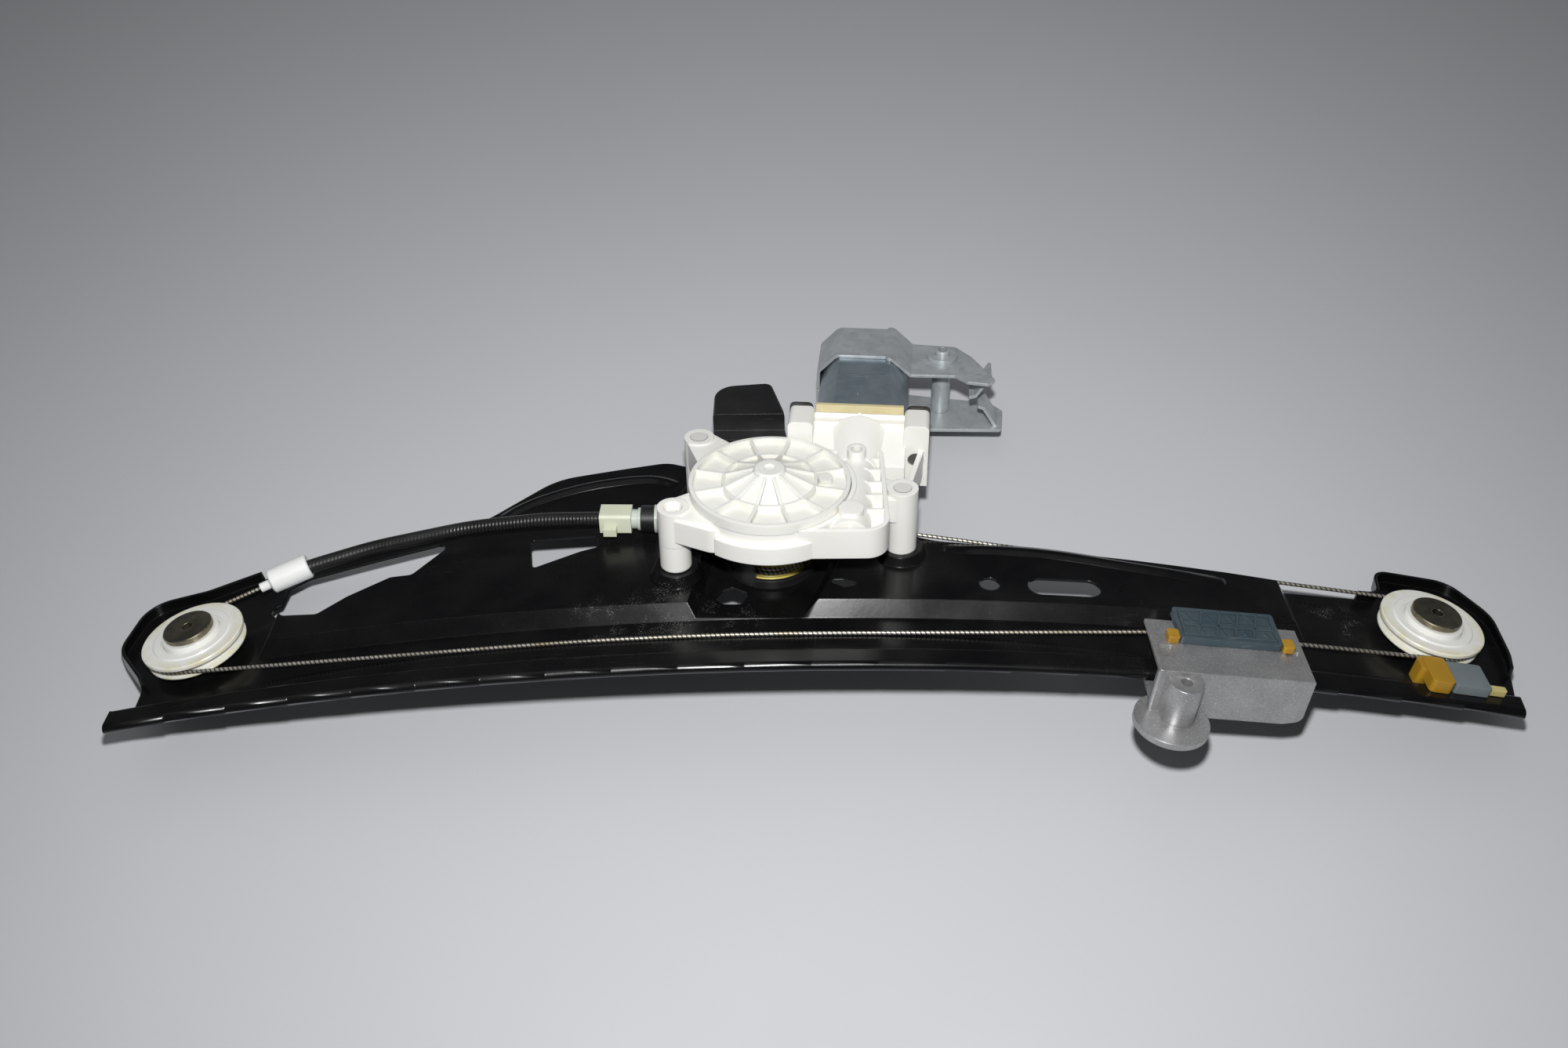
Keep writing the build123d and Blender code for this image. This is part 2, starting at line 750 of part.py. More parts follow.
with BuildPart() as gear_blank:
    with BuildSketch(level(case_floor)):
        Circle(disc_radius - 0.2)
        add(block_outline.sketch)
    extrude(amount=disc_seat - case_floor + 1.2)
    with BuildSketch(along_motor(worm_front - 4)):
        Circle(tunnel_radius)
    extrude(amount=bell_start + 8 - worm_front + 4)
    with BuildSketch(level(case_floor)):
        Rectangle(reach, reach)
    extrude(amount=-20, mode=Mode.SUBTRACT)
    with BuildSketch(level(case_floor)):
        with BuildLine():
            Polyline(*sector(-128, -62, disc_radius + 3), close=True)
        make_face()
        Circle(disc_radius + 2.8, mode=Mode.INTERSECT)
    extrude(amount=ledge_top - case_floor)
    for spot, toward, radius in (
        (front_leg, (-24, -22), 7.0), (rear_leg, (-18, 22), 8.0), (right_leg, (50, 8), 3.0),
    ):
        with BuildSketch(level(case_floor)):
            with Locations(spot):
                Circle(post_radius - 1)
            with Locations(toward):
                Circle(radius)
            make_hull()
        extrude(amount=ledge_top + 3 - case_floor)
    with BuildSketch(level(bush_top)):
        with Locations(front_leg):
            Circle(post_radius)
    extrude(amount=post_top - bush_top)
    with BuildSketch(level(pad_level + dome_height + seat)):
        with Locations(rear_leg, right_leg):
            Circle(post_radius)
    extrude(amount=post_top - pad_level - dome_height)
    add(tray.part, mode=Mode.SUBTRACT)

# Flange of the motor with its two lugs and the sloping bell before it
with BuildPart() as flange_block:
    with BuildSketch(along_motor(flange_end)):
        with Locations((0, -1)):
            RectangleRounded(2 * flange_half, 2 * plate_top + 6, 3)
    extrude(amount=-5)
    for side in (-1, 1):
        with BuildSketch(along_motor(flange_end)):
            with Locations((side * lug_side, 0.5)):
                RectangleRounded(lug_width, can_height - 1, 2.5)
        extrude(amount=flange_start - flange_end - 1)
    side_plane = Plane(origin=motor.origin, x_dir=motor.z_dir, z_dir=-motor.x_dir)
    with BuildSketch(side_plane):
        with BuildLine():
            Polyline(
                (bell_start - 4, 3), (flange_end - 3, plate_top), (flange_end, plate_top + 4),
                (flange_end, -plate_top - 3), (bell_start, -8), (bell_start - 4, -6), close=True,
            )
        make_face()
    extrude(amount=lug_side - lug_width / 2 + 1, both=True)
    with BuildSketch(side_plane):
        with BuildLine():
            Polyline(
                (bell_start, 4), (flange_end, 4), (flange_end, plate_top + 4.5),
                (flange_end - 3, plate_top + 2.5), (bell_start + 4, tunnel_radius), close=True,
            )
        make_face()
    extrude(amount=0.8, both=True)
    with BuildSketch(along_motor(bell_start - 6)):
        Circle(tunnel_radius)
    extrude(amount=flange_end - bell_start + 2, taper=-16)
    with BuildSketch(level(case_floor - 6)):
        Rectangle(2 * reach, 2 * reach)
    extrude(amount=-20, mode=Mode.SUBTRACT)
    with BuildSketch(along_motor(flange_end)):
        Rectangle(2 * reach, 2 * reach)
    extrude(amount=20, mode=Mode.SUBTRACT)

boss_spot = (35.1, -21.2)
tube_spot = (39.0, 21.6)
with BuildPart() as gear_housing:
    add(gear_blank.part)
    add(flange_block.part)
    with BuildSketch(level(ledge_top)):
        with Locations(boss_spot):
            Circle(5.5)
    extrude(amount=disc_top - 0.5 - ledge_top)
    with BuildSketch(level(ledge_top)):
        with Locations(tube_spot):
            Circle(4.3)
    extrude(amount=43 - ledge_top)
    with BuildSketch(level(case_floor)):
        with Locations((61.5, 3)):
            Circle(1.2)
        with Locations((69.5, 33)):
            Circle(1.2)
        make_hull()
    extrude(amount=13)
    with BuildSketch(level(case_floor + wall)):
        Circle(disc_radius - 0.2 - wall)
    extrude(amount=40, mode=Mode.SUBTRACT)
    with BuildSketch(level(disc_seat)):
        Circle(disc_radius + gap)
    extrude(amount=20, mode=Mode.SUBTRACT)
    with BuildSketch(level(case_floor)):
        Circle(shaft_radius + 1 + running)
    extrude(amount=wall, mode=Mode.SUBTRACT)
    with BuildSketch(along_motor(worm_front)):
        Circle(worm_bore)
    extrude(amount=flange_end - worm_front, mode=Mode.SUBTRACT)
    with BuildSketch(along_motor(worm_front - 3)):
        Circle(motor_shaft + 0.5)
    extrude(amount=4, mode=Mode.SUBTRACT)
    with BuildSketch(along_motor(flange_end - 5)):
        Circle(13)
    extrude(amount=6, mode=Mode.SUBTRACT)
    for side in (-1, 1):
        with BuildSketch(along_motor(flange_start - 3)):
            with Locations((side * lug_side, 0)):
                Circle(2.0 + seat)
        extrude(amount=flange_end - flange_start + 4, mode=Mode.SUBTRACT)
        with BuildSketch(along_motor(flange_start - 1)):
            with Locations((side * lug_side, 0)):
                Circle(3.6)
        extrude(amount=3.5, mode=Mode.SUBTRACT)
    with BuildSketch(level(43)):
        with Locations(tube_spot):
            Circle(2.4)
    extrude(amount=-6, mode=Mode.SUBTRACT)
    for spot in legs:
        with BuildSketch(level(post_top)):
            with Locations(spot):
                Circle(screw_radius)
        extrude(amount=-post_top, mode=Mode.SUBTRACT)
        with BuildSketch(level(post_top)):
            with Locations(spot):
                Circle(4.2)
        extrude(amount=-3.2, taper=22, mode=Mode.SUBTRACT)
gear_housing.part.label = "gear_housing"
export_step(gear_housing.part, "parts/gear_housing.step")

# Ribbed cover pressed into the top of the gear case
cover_floor = disc_seat + seat
rib_count = 12
rib_thick = 1.2
ring_radius = 20.6
hub_radius = 6.5
pin_radius = 3.0
with BuildPart() as gear_cover:
    with BuildSketch(level(cover_floor)):
        Circle(disc_radius)
    extrude(amount=2.2)
    with BuildSketch(level(cover_floor)):
        Circle(disc_radius)
        Circle(disc_radius - 1.9, mode=Mode.SUBTRACT)
        Circle(ring_radius + 0.6)
        Circle(ring_radius - 0.6, mode=Mode.SUBTRACT)
        with Locations((24.5, 1.5)):
            Circle(3.2)
    extrude(amount=disc_top - cover_floor)
    with BuildSketch(level(cover_floor + 2)):
        Circle(ring_radius)
    extrude(amount=disc_top - cover_floor - 2.4, taper=72)
    with BuildSketch(level(cover_floor)):
        with PolarLocations(0, rib_count, start_angle=15):
            with Locations((ring_radius - 4, 0)):
                Rectangle(2 * (disc_radius - 1) - 2 * ring_radius + 7, rib_thick)
        Circle(disc_radius - 0.5, mode=Mode.INTERSECT)
    extrude(amount=disc_top - cover_floor)
    with BuildSketch(level(cover_floor)):
        Circle(hub_radius)
    extrude(amount=disc_top + 1.2 - cover_floor)
    with BuildSketch(level(disc_top + 1.2)):
        Circle(pin_radius + 1.2)
        Circle(pin_radius + seat, mode=Mode.SUBTRACT)
    extrude(amount=-1.4, mode=Mode.SUBTRACT)
    with BuildSketch(level(cover_floor)):
        Circle(pin_radius + seat)
    extrude(amount=10, mode=Mode.SUBTRACT)
gear_cover.part.label = "gear_cover"
export_step(gear_cover.part, "parts/gear_cover.step")

with BuildPart() as gear_pin:
    with BuildSketch(level(drum_floor + 0.5)):
        Circle(pin_radius)
    extrude(amount=disc_top - drum_floor)
    chamfer(gear_pin.edges().group_by(unit_axis)[-1], 0.6)
gear_pin.part.label = "gear_pin"
export_step(gear_pin.part, "parts/gear_pin.step")

# Worm wheel, damper and drive plate, one on top of the other
wheel_floor = case_floor + wall + gap
damper_radius = 20.0
dog_count = 3
with BuildPart() as worm_wheel:
    with BuildSketch(level(wheel_floor)):
        Circle(wheel_radius - tooth_depth / 2)
    extrude(amount=wheel_thick)
    with BuildSketch(level(wheel_floor)):
        with PolarLocations(wheel_radius - tooth_depth / 2, wheel_teeth):
            Rectangle(tooth_depth, pi * wheel_radius / wheel_teeth)
    extrude(amount=wheel_thick)
    with BuildSketch(level(wheel_floor + 1.6)):
        Circle(damper_radius)
    extrude(amount=wheel_thick, mode=Mode.SUBTRACT)
    with BuildSketch(level(wheel_floor)):
        Circle(shaft_radius + 1 + seat)
    extrude(amount=wheel_thick, mode=Mode.SUBTRACT)
worm_wheel.part.label = "worm_wheel"
export_step(worm_wheel.part, "parts/worm_wheel.step")

with BuildPart() as wheel_damper:
    with BuildSketch(level(wheel_floor + 1.6 + seat)):
        Circle(damper_radius - seat)
        Circle(8, mode=Mode.SUBTRACT)
        with PolarLocations(14, dog_count):
            Rectangle(8, 4 + 2 * seat, mode=Mode.SUBTRACT)
    extrude(amount=wheel_thick - 1.6 - 2 * seat)
wheel_damper.part.label = "wheel_damper"
export_step(wheel_damper.part, "parts/wheel_damper.step")

plate_floor = wheel_floor + wheel_thick
with BuildPart() as drive_plate:
    with BuildSketch(level(plate_floor)):
        Circle(damper_radius + 2)
    extrude(amount=1.6)
    with BuildSketch(level(plate_floor)):
        with PolarLocations(14, dog_count):
            Rectangle(8 - 2 * seat, 4)
    extrude(amount=-5)
    with BuildSketch(level(plate_floor + 1)):
        Circle(shaft_radius + 1)
    extrude(amount=-(plate_floor + 1 - drum_floor - 1))
    with BuildSketch(level(plate_floor + 2)):
        Circle(pin_radius + running)
    extrude(amount=-60, mode=Mode.SUBTRACT)
drive_plate.part.label = "drive_plate"
export_step(drive_plate.part, "parts/drive_plate.step")

# Motor: can, magnets, brushes, gasket, bearings and the turning armature
can_seat = flange_end + 2.0
bearing_radius = 5.0
with BuildSketch() as can_outline:
    Circle(can_width / 2)
    Rectangle(can_width, can_height, mode=Mode.INTERSECT)
with BuildSketch() as can_inside:
    Circle(can_width / 2 - can_wall)
    Rectangle(can_width, can_height - 2 * can_wall, mode=Mode.INTERSECT)

with BuildPart() as motor_can:
    with BuildSketch(along_motor(can_seat)):
        add(can_outline.sketch)
    extrude(amount=can_end - can_seat)
    fillet(motor_can.edges().group_by(motor_axis)[-1], 3.0)
    with BuildSketch(along_motor(can_seat)):
        RectangleRounded(2 * flange_half - 1, 15, 4)
    extrude(amount=can_wall)
    with BuildSketch(along_motor(can_end - 1)):
        Circle(bearing_radius + can_wall)
    extrude(amount=4)
    with BuildSketch(along_motor(can_seat)):
        add(can_inside.sketch)
    extrude(amount=can_end - can_seat - can_wall, mode=Mode.SUBTRACT)
    with BuildSketch(along_motor(can_end - 3)):
        Circle(bearing_radius + seat)
    extrude(amount=4.8, mode=Mode.SUBTRACT)
    with BuildSketch(along_motor(can_seat)):
        with Locations((-lug_side, 0), (lug_side, 0)):
            Circle(2.0 + seat)
    extrude(amount=can_wall, mode=Mode.SUBTRACT)
motor_can.part.label = "motor_can"
export_step(motor_can.part, "parts/motor_can.step")

with BuildPart() as motor_magnets:
    with BuildSketch(along_motor(can_seat + 14)):
        Circle(can_height / 2 - can_wall - seat)
        Circle(can_height / 2 - can_wall - magnet_thick + 1, mode=Mode.SUBTRACT)
        Rectangle(can_width, 14, mode=Mode.SUBTRACT)
    extrude(amount=44)
motor_magnets.part.label = "motor_magnets"
export_step(motor_magnets.part, "parts/motor_magnets.step")

with BuildPart() as motor_gasket:
    with BuildSketch(along_motor(flange_end + seat)):
        Rectangle(2 * (lug_side - lug_width / 2) - 1, can_height + 1.6)
        Circle(14, mode=Mode.SUBTRACT)
    extrude(amount=2.0 - 2 * seat)
motor_gasket.part.label = "motor_gasket"
export_step(motor_gasket.part, "parts/motor_gasket.step")

with BuildPart() as lug_pads:
    with BuildSketch(along_motor(flange_end + seat)):
        for side in (-1, 1):
            with Locations((side * (lug_side + 0.6), 0.8)):
                RectangleRounded(lug_width - 0.6, can_height, 2.5)
        with Locations((-lug_side, 0), (lug_side, 0)):
            Circle(2.0 + seat, mode=Mode.SUBTRACT)
    extrude(amount=2.0 - 2 * seat)
lug_pads.part.label = "lug_pads"
export_step(lug_pads.part, "parts/lug_pads.step")

with BuildPart() as motor_screws:
    for side in (-1, 1):
        with BuildSketch(along_motor(flange_start + 1)):
            with Locations((side * lug_side, 0)):
                Circle(2.0)
        extrude(amount=can_seat + can_wall + 1 - flange_start)
        with BuildSketch(along_motor(flange_start + 2.5 - seat)):
            with Locations((side * lug_side, 0)):
                Circle(3.5)
        extrude(amount=-2.6)
        with BuildSketch(along_motor(can_seat + can_wall + seat)):
            with Locations((side * lug_side, 0)):
                RegularPolygon(3.6, 6)
        extrude(amount=2.4)
motor_screws.part.label = "motor_screws"
export_step(motor_screws.part, "parts/motor_screws.step")

brush_start = can_seat + 2.5
commutator_radius = 7.0
with BuildPart() as brush_holder:
    with BuildSketch(along_motor(brush_start)):
        add(can_inside.sketch)
        Circle(commutator_radius + 2.5, mode=Mode.SUBTRACT)
    extrude(amount=1.6)
    for side in (-1, 1):
        with BuildSketch(along_motor(brush_start + 1.5)):
            with Locations((side * 13, 0)):
                Rectangle(10, 6)
        extrude(amount=7)
    with BuildSketch(along_motor(brush_start)):
        Circle(commutator_radius + gap)
    extrude(amount=12, mode=Mode.SUBTRACT)
    with BuildSketch(along_motor(brush_start)):
        Circle(can_width / 2 - can_wall - seat)
        Rectangle(can_width, can_height - 2 * can_wall - 2 * seat, mode=Mode.INTERSECT)
    extrude(amount=10, mode=Mode.INTERSECT)
brush_holder.part.label = "brush_holder"
export_step(brush_holder.part, "parts/brush_holder.step")

with BuildPart() as can_bearing:
    with BuildSketch(along_motor(can_end - 3)):
        Circle(bearing_radius)
        Circle(motor_shaft + running, mode=Mode.SUBTRACT)
    extrude(amount=4.6)
can_bearing.part.label = "can_bearing"
export_step(can_bearing.part, "parts/can_bearing.step")

with BuildPart() as worm_bearings:
    with BuildSketch(along_motor(worm_front + 1)):
        Circle(worm_bore - seat)
        Circle(motor_shaft + running, mode=Mode.SUBTRACT)
    extrude(amount=4)
    with BuildSketch(along_motor(flange_end - 11)):
        Circle(worm_bore - seat)
        Circle(motor_shaft + running, mode=Mode.SUBTRACT)
    extrude(amount=5)
worm_bearings.part.label = "worm_bearings"
export_step(worm_bearings.part, "parts/worm_bearings.step")

worm_pitch = 3.1
with BuildPart() as worm_shaft:
    with BuildSketch(along_motor(worm_front + 0.5)):
        Circle(motor_shaft)
    extrude(amount=can_end + 1 - worm_front - 0.5)
    with BuildSketch(along_motor(-14)):
        Circle(worm_radius - tooth_depth)
    extrude(amount=28)
    for turn in range(-4, 5):
        with BuildSketch(along_motor(turn * worm_pitch - 0.7)):
            Circle(worm_radius)
        extrude(amount=1.4)
worm_shaft.part.label = "worm_shaft"
export_step(worm_shaft.part, "parts/worm_shaft.step")

with BuildPart() as armature_core:
    with BuildSketch(along_motor(can_seat + 17)):
        Circle(armature_radius)
        with PolarLocations(armature_radius - 1.5, 10):
            Rectangle(5, 2.2, mode=Mode.SUBTRACT)
        Circle(motor_shaft + seat, mode=Mode.SUBTRACT)
    extrude(amount=38)
armature_core.part.label = "armature_core"
export_step(armature_core.part, "parts/armature_core.step")

with BuildPart() as commutator:
    with BuildSketch(along_motor(brush_start - 0.5)):
        Circle(commutator_radius)
        Circle(motor_shaft + seat, mode=Mode.SUBTRACT)
    extrude(amount=12)
commutator.part.label = "commutator"
export_step(commutator.part, "parts/commutator.step")

# Bush under the front leg and the screws that come up through the domes
dome_top = pad_level + dome_height
with BuildPart() as mount_bush:
    with BuildSketch(level(dome_top + seat)):
        with Locations(front_leg):
            Circle(post_radius)
            Circle(screw_radius, mode=Mode.SUBTRACT)
    extrude(amount=bush_top - dome_top - 2 * seat)
    fillet(mount_bush.edges().filter_by(GeomType.CIRCLE).group_by(unit_axis)[0].sort_by(
        SortBy.RADIUS)[-1:], 1.2)
mount_bush.part.label = "mount_bush"
export_step(mount_bush.part, "parts/mount_bush.step")

screw_length = 26.0
dome_under = dome_top - sheet
with BuildPart() as mounting_screws:
    with BuildSketch(level(dome_under - seat)):
        with Locations(*legs):
            Circle(5.0)
    extrude(amount=-2.8)
    with BuildSketch(level(dome_under - 1)):
        with Locations(*legs):
            Circle(screw_radius - seat)
    extrude(amount=screw_length)
mounting_screws.part.label = "mounting_screws"
export_step(mounting_screws.part, "parts/mounting_screws.step")

# Electronics case beside the motor flange, with its plug pocket at the rear
case_points = [(-27, 47), (-27, 82), (0, 85), (6, 60), (7.6, 47.6)]
case_low = 20.0
case_top = 41.0
plug_spot = (-13, 82)
plug_length = 20.0
plug_height = 9.0
plug_depth = 12.0
with BuildPart() as electronics_case:
    with BuildSketch(level(case_low)):
        with BuildLine():
            FilletPolyline(*case_points, radius=[5, 11, 4, 6, 1.5], close=True)
        make_face()
    extrude(amount=case_top - case_low)
    fillet(electronics_case.edges().group_by(unit_axis)[-1], 1.5)
    with BuildSketch(level(case_top)):
        with Locations((-10, 49)):
            Rectangle(45, 13)
    extrude(amount=-9, mode=Mode.SUBTRACT)
    plug_plane = Plane(
        origin=deck_point(gear_along + plug_spot[0], gear_across + plug_spot[1] + 4, case_low + 10.5),
        x_dir=deck.x_dir, z_dir=-deck.y_dir,
    )
    with BuildSketch(plug_plane):
        RectangleRounded(plug_length, plug_height, 1.2)
    extrude(amount=plug_depth, mode=Mode.SUBTRACT)
electronics_case.part.label = "electronics_case"
export_step(electronics_case.part, "parts/electronics_case.step")

with BuildPart() as connector_pins:
    with BuildSketch(plug_plane.offset(plug_depth)):
        with GridLocations(4.5, 3.6, 4, 2):
            Rectangle(0.8, 0.8)
    extrude(amount=-6)
connector_pins.part.label = "connector_pins"
export_step(connector_pins.part, "parts/connector_pins.step")

# Strap round the can: two halves that run on as the plates of the bracket
strap_mid = strap_thick / 2 + 0.1
strap_crown = can_height / 2 + strap_mid
strap_cheek = can_width / 2 + strap_mid
plate_level = 10.2
bracket_reach = 72.0
stud_distance = 110.0
stud_radius = 3.5
spacer_radius = 4.0
stud_thread = 2.1
stud_thread_depth = 14.0
upper_shape = [(10, 92), (10, 124), (44, 121.5), (52, 112), (63.5, 90), (60, 86), (50, 87.5), (44, 93)]
lower_shape = [(10, 90), (10, 124), (40, 120), (62, 118), (69, 110), (68, 92), (34, 90)]
left_cheek = strap_cheek
upper_path = [
    (left_cheek, 0.2), (left_cheek, 9.8), (13.9, strap_crown), (-13.0, strap_crown),
    (-left_cheek, plate_level), (-bracket_reach, plate_level),
]
lower_path = [
    (left_cheek, -0.2), (left_cheek, -9.8), (13.9, -strap_crown), (-bracket_reach, -strap_crown),
]
half_names = (
    ("strap_upper", upper_path, [3, 4, 4, 1.5], upper_shape, plate_level),
    ("strap_lower", lower_path, [3, 4], lower_shape, -strap_crown),
)
for name, path, radii, shape, height in half_names:
    with BuildPart() as strap:
        with BuildSketch(along_motor(strap_start - 12)):
            with BuildLine():
                FilletPolyline(*path, radius=radii)
            trace(line_width=strap_thick)
        extrude(amount=strap_end - strap_start + 20)
        top_view = Plane(
            origin=motor.origin, x_dir=-motor.x_dir, z_dir=motor.y_dir,
        ).offset(-reach / 8)
        with BuildSketch(top_view):
            with Locations((-left_cheek / 2, (strap_start + strap_end) / 2)):
                Rectangle(left_cheek + 30, strap_end - strap_start)
            with BuildLine():
                FilletPolyline(*shape, radius=2.0, close=True)
            make_face()
        extrude(amount=reach / 4, mode=Mode.INTERSECT)
        with BuildSketch(top_view):
            with Locations((stud_side - 6.4, stud_distance)):
                Circle(stud_radius + seat)
        extrude(amount=reach / 4, mode=Mode.SUBTRACT)
        lip_turn = 1 if height > 0 else -1
        foot = shape[4] if height > 0 else shape[5]
        with BuildSketch(along_motor(foot[1] + 3)):
            with BuildLine():
                Polyline(
                    (-foot[0] + 2.5, height), (-foot[0] + 9, height - lip_turn * 10.5),
                    (-foot[0] + 9 + 3, height - lip_turn * 11.5),
                )
            trace(line_width=strap_thick)
        extrude(amount=15)
    strap.part.label = name
    export_step(strap.part, f"parts/{name}.step")

stud_spot = (-stud_side + 6.4, stud_distance)
stud_foot = Plane(
    origin=motor.from_local_coords((stud_spot[0], -strap_crown, stud_distance)),
    x_dir=deck.x_dir, z_dir=deck.z_dir,
)
plate_gap = plate_level + strap_crown
with BuildPart() as bracket_spacer:
    with BuildSketch(stud_foot.offset(strap_thick / 2 + seat)):
        Circle(spacer_radius + 0.6)
        Circle(stud_radius + seat, mode=Mode.SUBTRACT)
    extrude(amount=plate_gap - strap_thick - 2 * seat)
bracket_spacer.part.label = "bracket_spacer"
export_step(bracket_spacer.part, "parts/bracket_spacer.step")

with BuildPart() as bracket_stud:
    with BuildSketch(stud_foot.offset(-strap_thick / 2 - seat)):
        Circle(6.0)
    extrude(amount=-1.8)
    with BuildSketch(stud_foot.offset(-strap_thick)):
        Circle(stud_radius)
    extrude(amount=plate_gap + 5.5 + strap_thick)
    with BuildSketch(stud_foot.offset(plate_gap + strap_thick / 2 + seat)):
        Circle(7.4)
    extrude(amount=2.2)
    chamfer(bracket_stud.edges().group_by(unit_axis)[-1], 0.5)
    with BuildSketch(stud_foot.offset(plate_gap + 5.5)):
        Circle(stud_thread)
    extrude(amount=-stud_thread_depth, mode=Mode.SUBTRACT)
bracket_stud.part.label = "bracket_stud"
export_step(bracket_stud.part, "parts/bracket_stud.step")

# Slider: a die-cast bridge that rides the tongue of the rail on two shoes
slider = on_rail(slider_along, 0)
slider_axis = Axis(slider.origin, slider.z_dir)
slider_side = Plane(origin=slider.origin, x_dir=slider.y_dir, z_dir=slider.x_dir)
leg_level = -8.5
leg_thick = 2.5
leg_rear = 9.5
lobe_spot = (boss_side - 2, -11)
lobe_thick = 3.0
shoe_length = 12.0
shoe_spread = 24.0
shoe_play = 0.4
roof_under = roof_level - roof_thick
with BuildPart() as slider_casting:
    with BuildSketch(slider_side.offset(-slider_length / 2)):
        with BuildLine():
            Polyline(
                (face_across, roof_level), (slider_rear, roof_level), (slider_rear, roof_under),
                (face_across + face_thick, roof_under), (face_across + face_thick, leg_level),
                (leg_rear, leg_level), (leg_rear, leg_level - leg_thick),
                (face_across + face_thick, leg_level - leg_thick),
                (face_across + face_thick, skirt_level), (face_across, skirt_level), close=True,
            )
        make_face()
    extrude(amount=slider_length)
    front_face = Plane(origin=slider.origin, x_dir=slider.x_dir, z_dir=-slider.y_dir)
    with BuildSketch(front_face.offset(-reach / 8)):
        with BuildLine():
            FilletPolyline(
                (-slider_length / 2, -15), (-slider_length / 2, roof_level + 1),
                (slider_length / 2, roof_level + 1), (slider_length / 2, skirt_level + 2),
                (slider_length / 2 - 8, skirt_level), (4, skirt_level), (-4, skirt_level - 2),
                (-28, skirt_level - 2), radius=[2, 2, 2, 4, 3, 8, 4, 6], close=True,
            )
        make_face()
    extrude(amount=reach / 4, mode=Mode.INTERSECT)
    with BuildSketch(slider.offset(skirt_level - 1)):
        with Locations(lobe_spot):
            Circle(lobe_radius)
    extrude(amount=lobe_thick)
    with BuildSketch(slider.offset(skirt_level)):
        with Locations((boss_side, boss_across)):
            Circle(boss_radius)
    extrude(amount=roof_under - 1 - skirt_level)
    fillet(
        slider_casting.edges().filter_by(GeomType.CIRCLE).group_by(slider_axis)[-1]
        .sort_by(SortBy.RADIUS)[-1:], 1.2,
    )
    with BuildSketch(slider_side.offset(-slider_length / 2)):
        with BuildLine():
            Polyline(
                (face_across + face_thick, roof_under), (face_across + face_thick, leg_level),
                (leg_rear + 5, leg_level), (leg_rear + 5, roof_under), close=True,
            )
        make_face()
    extrude(amount=slider_length, mode=Mode.SUBTRACT)
    with BuildSketch(slider.offset(roof_level)):
        with Locations((-slider_length / 2 + 5.5, 7), (slider_length / 2 - 5.5, 9)):
            RectangleRounded(6, 7, 0.8)
    extrude(amount=-1.0, mode=Mode.SUBTRACT)
    with BuildSketch(slider.offset(roof_level)):
        with Locations((boss_side, boss_across)):
            Circle(screw_radius)
    extrude(amount=-30, mode=Mode.SUBTRACT)
slider_casting.part.label = "slider_casting"
export_step(slider_casting.part, "parts/slider_casting.step")

with BuildPart() as guide_shoes:
    for side in (-1, 1):
        with BuildSketch(slider_side.offset(side * shoe_spread - shoe_length / 2)):
            with BuildLine():
                Polyline(
                    (face_across + face_thick + seat, roof_under - seat), (8, roof_under - seat),
                    (8, shoe_play), (-shoe_play, shoe_play),
                    (-shoe_play, web_level - 0.2 - 2 * shoe_play),
                    (8, web_level - 0.2 - 2 * shoe_play), (8, leg_level + seat),
                    (face_across + face_thick + seat, leg_level + seat), close=True,
                )
            make_face()
        extrude(amount=shoe_length)
guide_shoes.part.label = "guide_shoes"
export_step(guide_shoes.part, "parts/guide_shoes.step")

holder_length = 44.0
holder_front = 12.0
holder_rear = 33.0
holder_height = 3.4
with BuildPart() as cable_holder:
    with BuildSketch(slider.offset(roof_level + seat)):
        with Locations((1, (holder_front + holder_rear) / 2)):
            RectangleRounded(holder_length, holder_rear - holder_front, 1.5)
    extrude(amount=holder_height)
    with BuildSketch(slider.offset(roof_level + holder_height)):
        with Locations((1, holder_front + 5.5), (1, holder_front + 15.5)):
            Rectangle(holder_length - 6, 6.5)
        for shift in (-13, -4, 6, 15):
            with Locations((shift, holder_front + 10)):
                Rectangle(1.3, 20, rotation=25, mode=Mode.SUBTRACT)
    extrude(amount=-1.6, mode=Mode.SUBTRACT)
cable_holder.part.label = "cable_holder"
export_step(cable_holder.part, "parts/cable_holder.step")

with BuildPart() as cable_nipples:
    for side, across in ((-1, 15), (1, 14)):
        middle = 1 + side * (holder_length / 2 + 2.6)
        with BuildSketch(slider.offset(roof_level + seat)):
            with Locations((middle, across)):
                RectangleRounded(5, 6, 1)
        extrude(amount=3.2)
cable_nipples.part.label = "cable_nipples"
export_step(cable_nipples.part, "parts/cable_nipples.step")

# End stop of the slider's travel, on the web in front of the right pulley
stop = on_rail(271, 0)
web_play = gap / 2
with BuildPart() as stop_bumper:
    with BuildSketch(stop.offset(web_level + web_play)):
        with Locations((-7, 18)):
            RectangleRounded(12, 9, 2)
    extrude(amount=9.5)
    with BuildSketch(stop.offset(web_play)):
        with Locations((-6, 13.5)):
            RectangleRounded(10, 17, 2)
    extrude(amount=6.0)
stop_bumper.part.label = "stop_bumper"
export_step(stop_bumper.part, "parts/stop_bumper.step")

with BuildPart() as stop_bracket:
    with BuildSketch(stop.offset(web_level + web_play)):
        with Locations((8, 21.5)):
            Rectangle(16, 15)
    extrude(amount=3)
    with BuildSketch(stop.offset(web_level + web_play)):
        with Locations((8, 18)):
            RectangleRounded(14, 8, 1)
    extrude(amount=8)
    with BuildSketch(stop.offset(web_play)):
        with Locations((8, 14)):
            RectangleRounded(16, 16, 1)
    extrude(amount=4.6)
stop_bracket.part.label = "stop_bracket"
export_step(stop_bracket.part, "parts/stop_bracket.step")

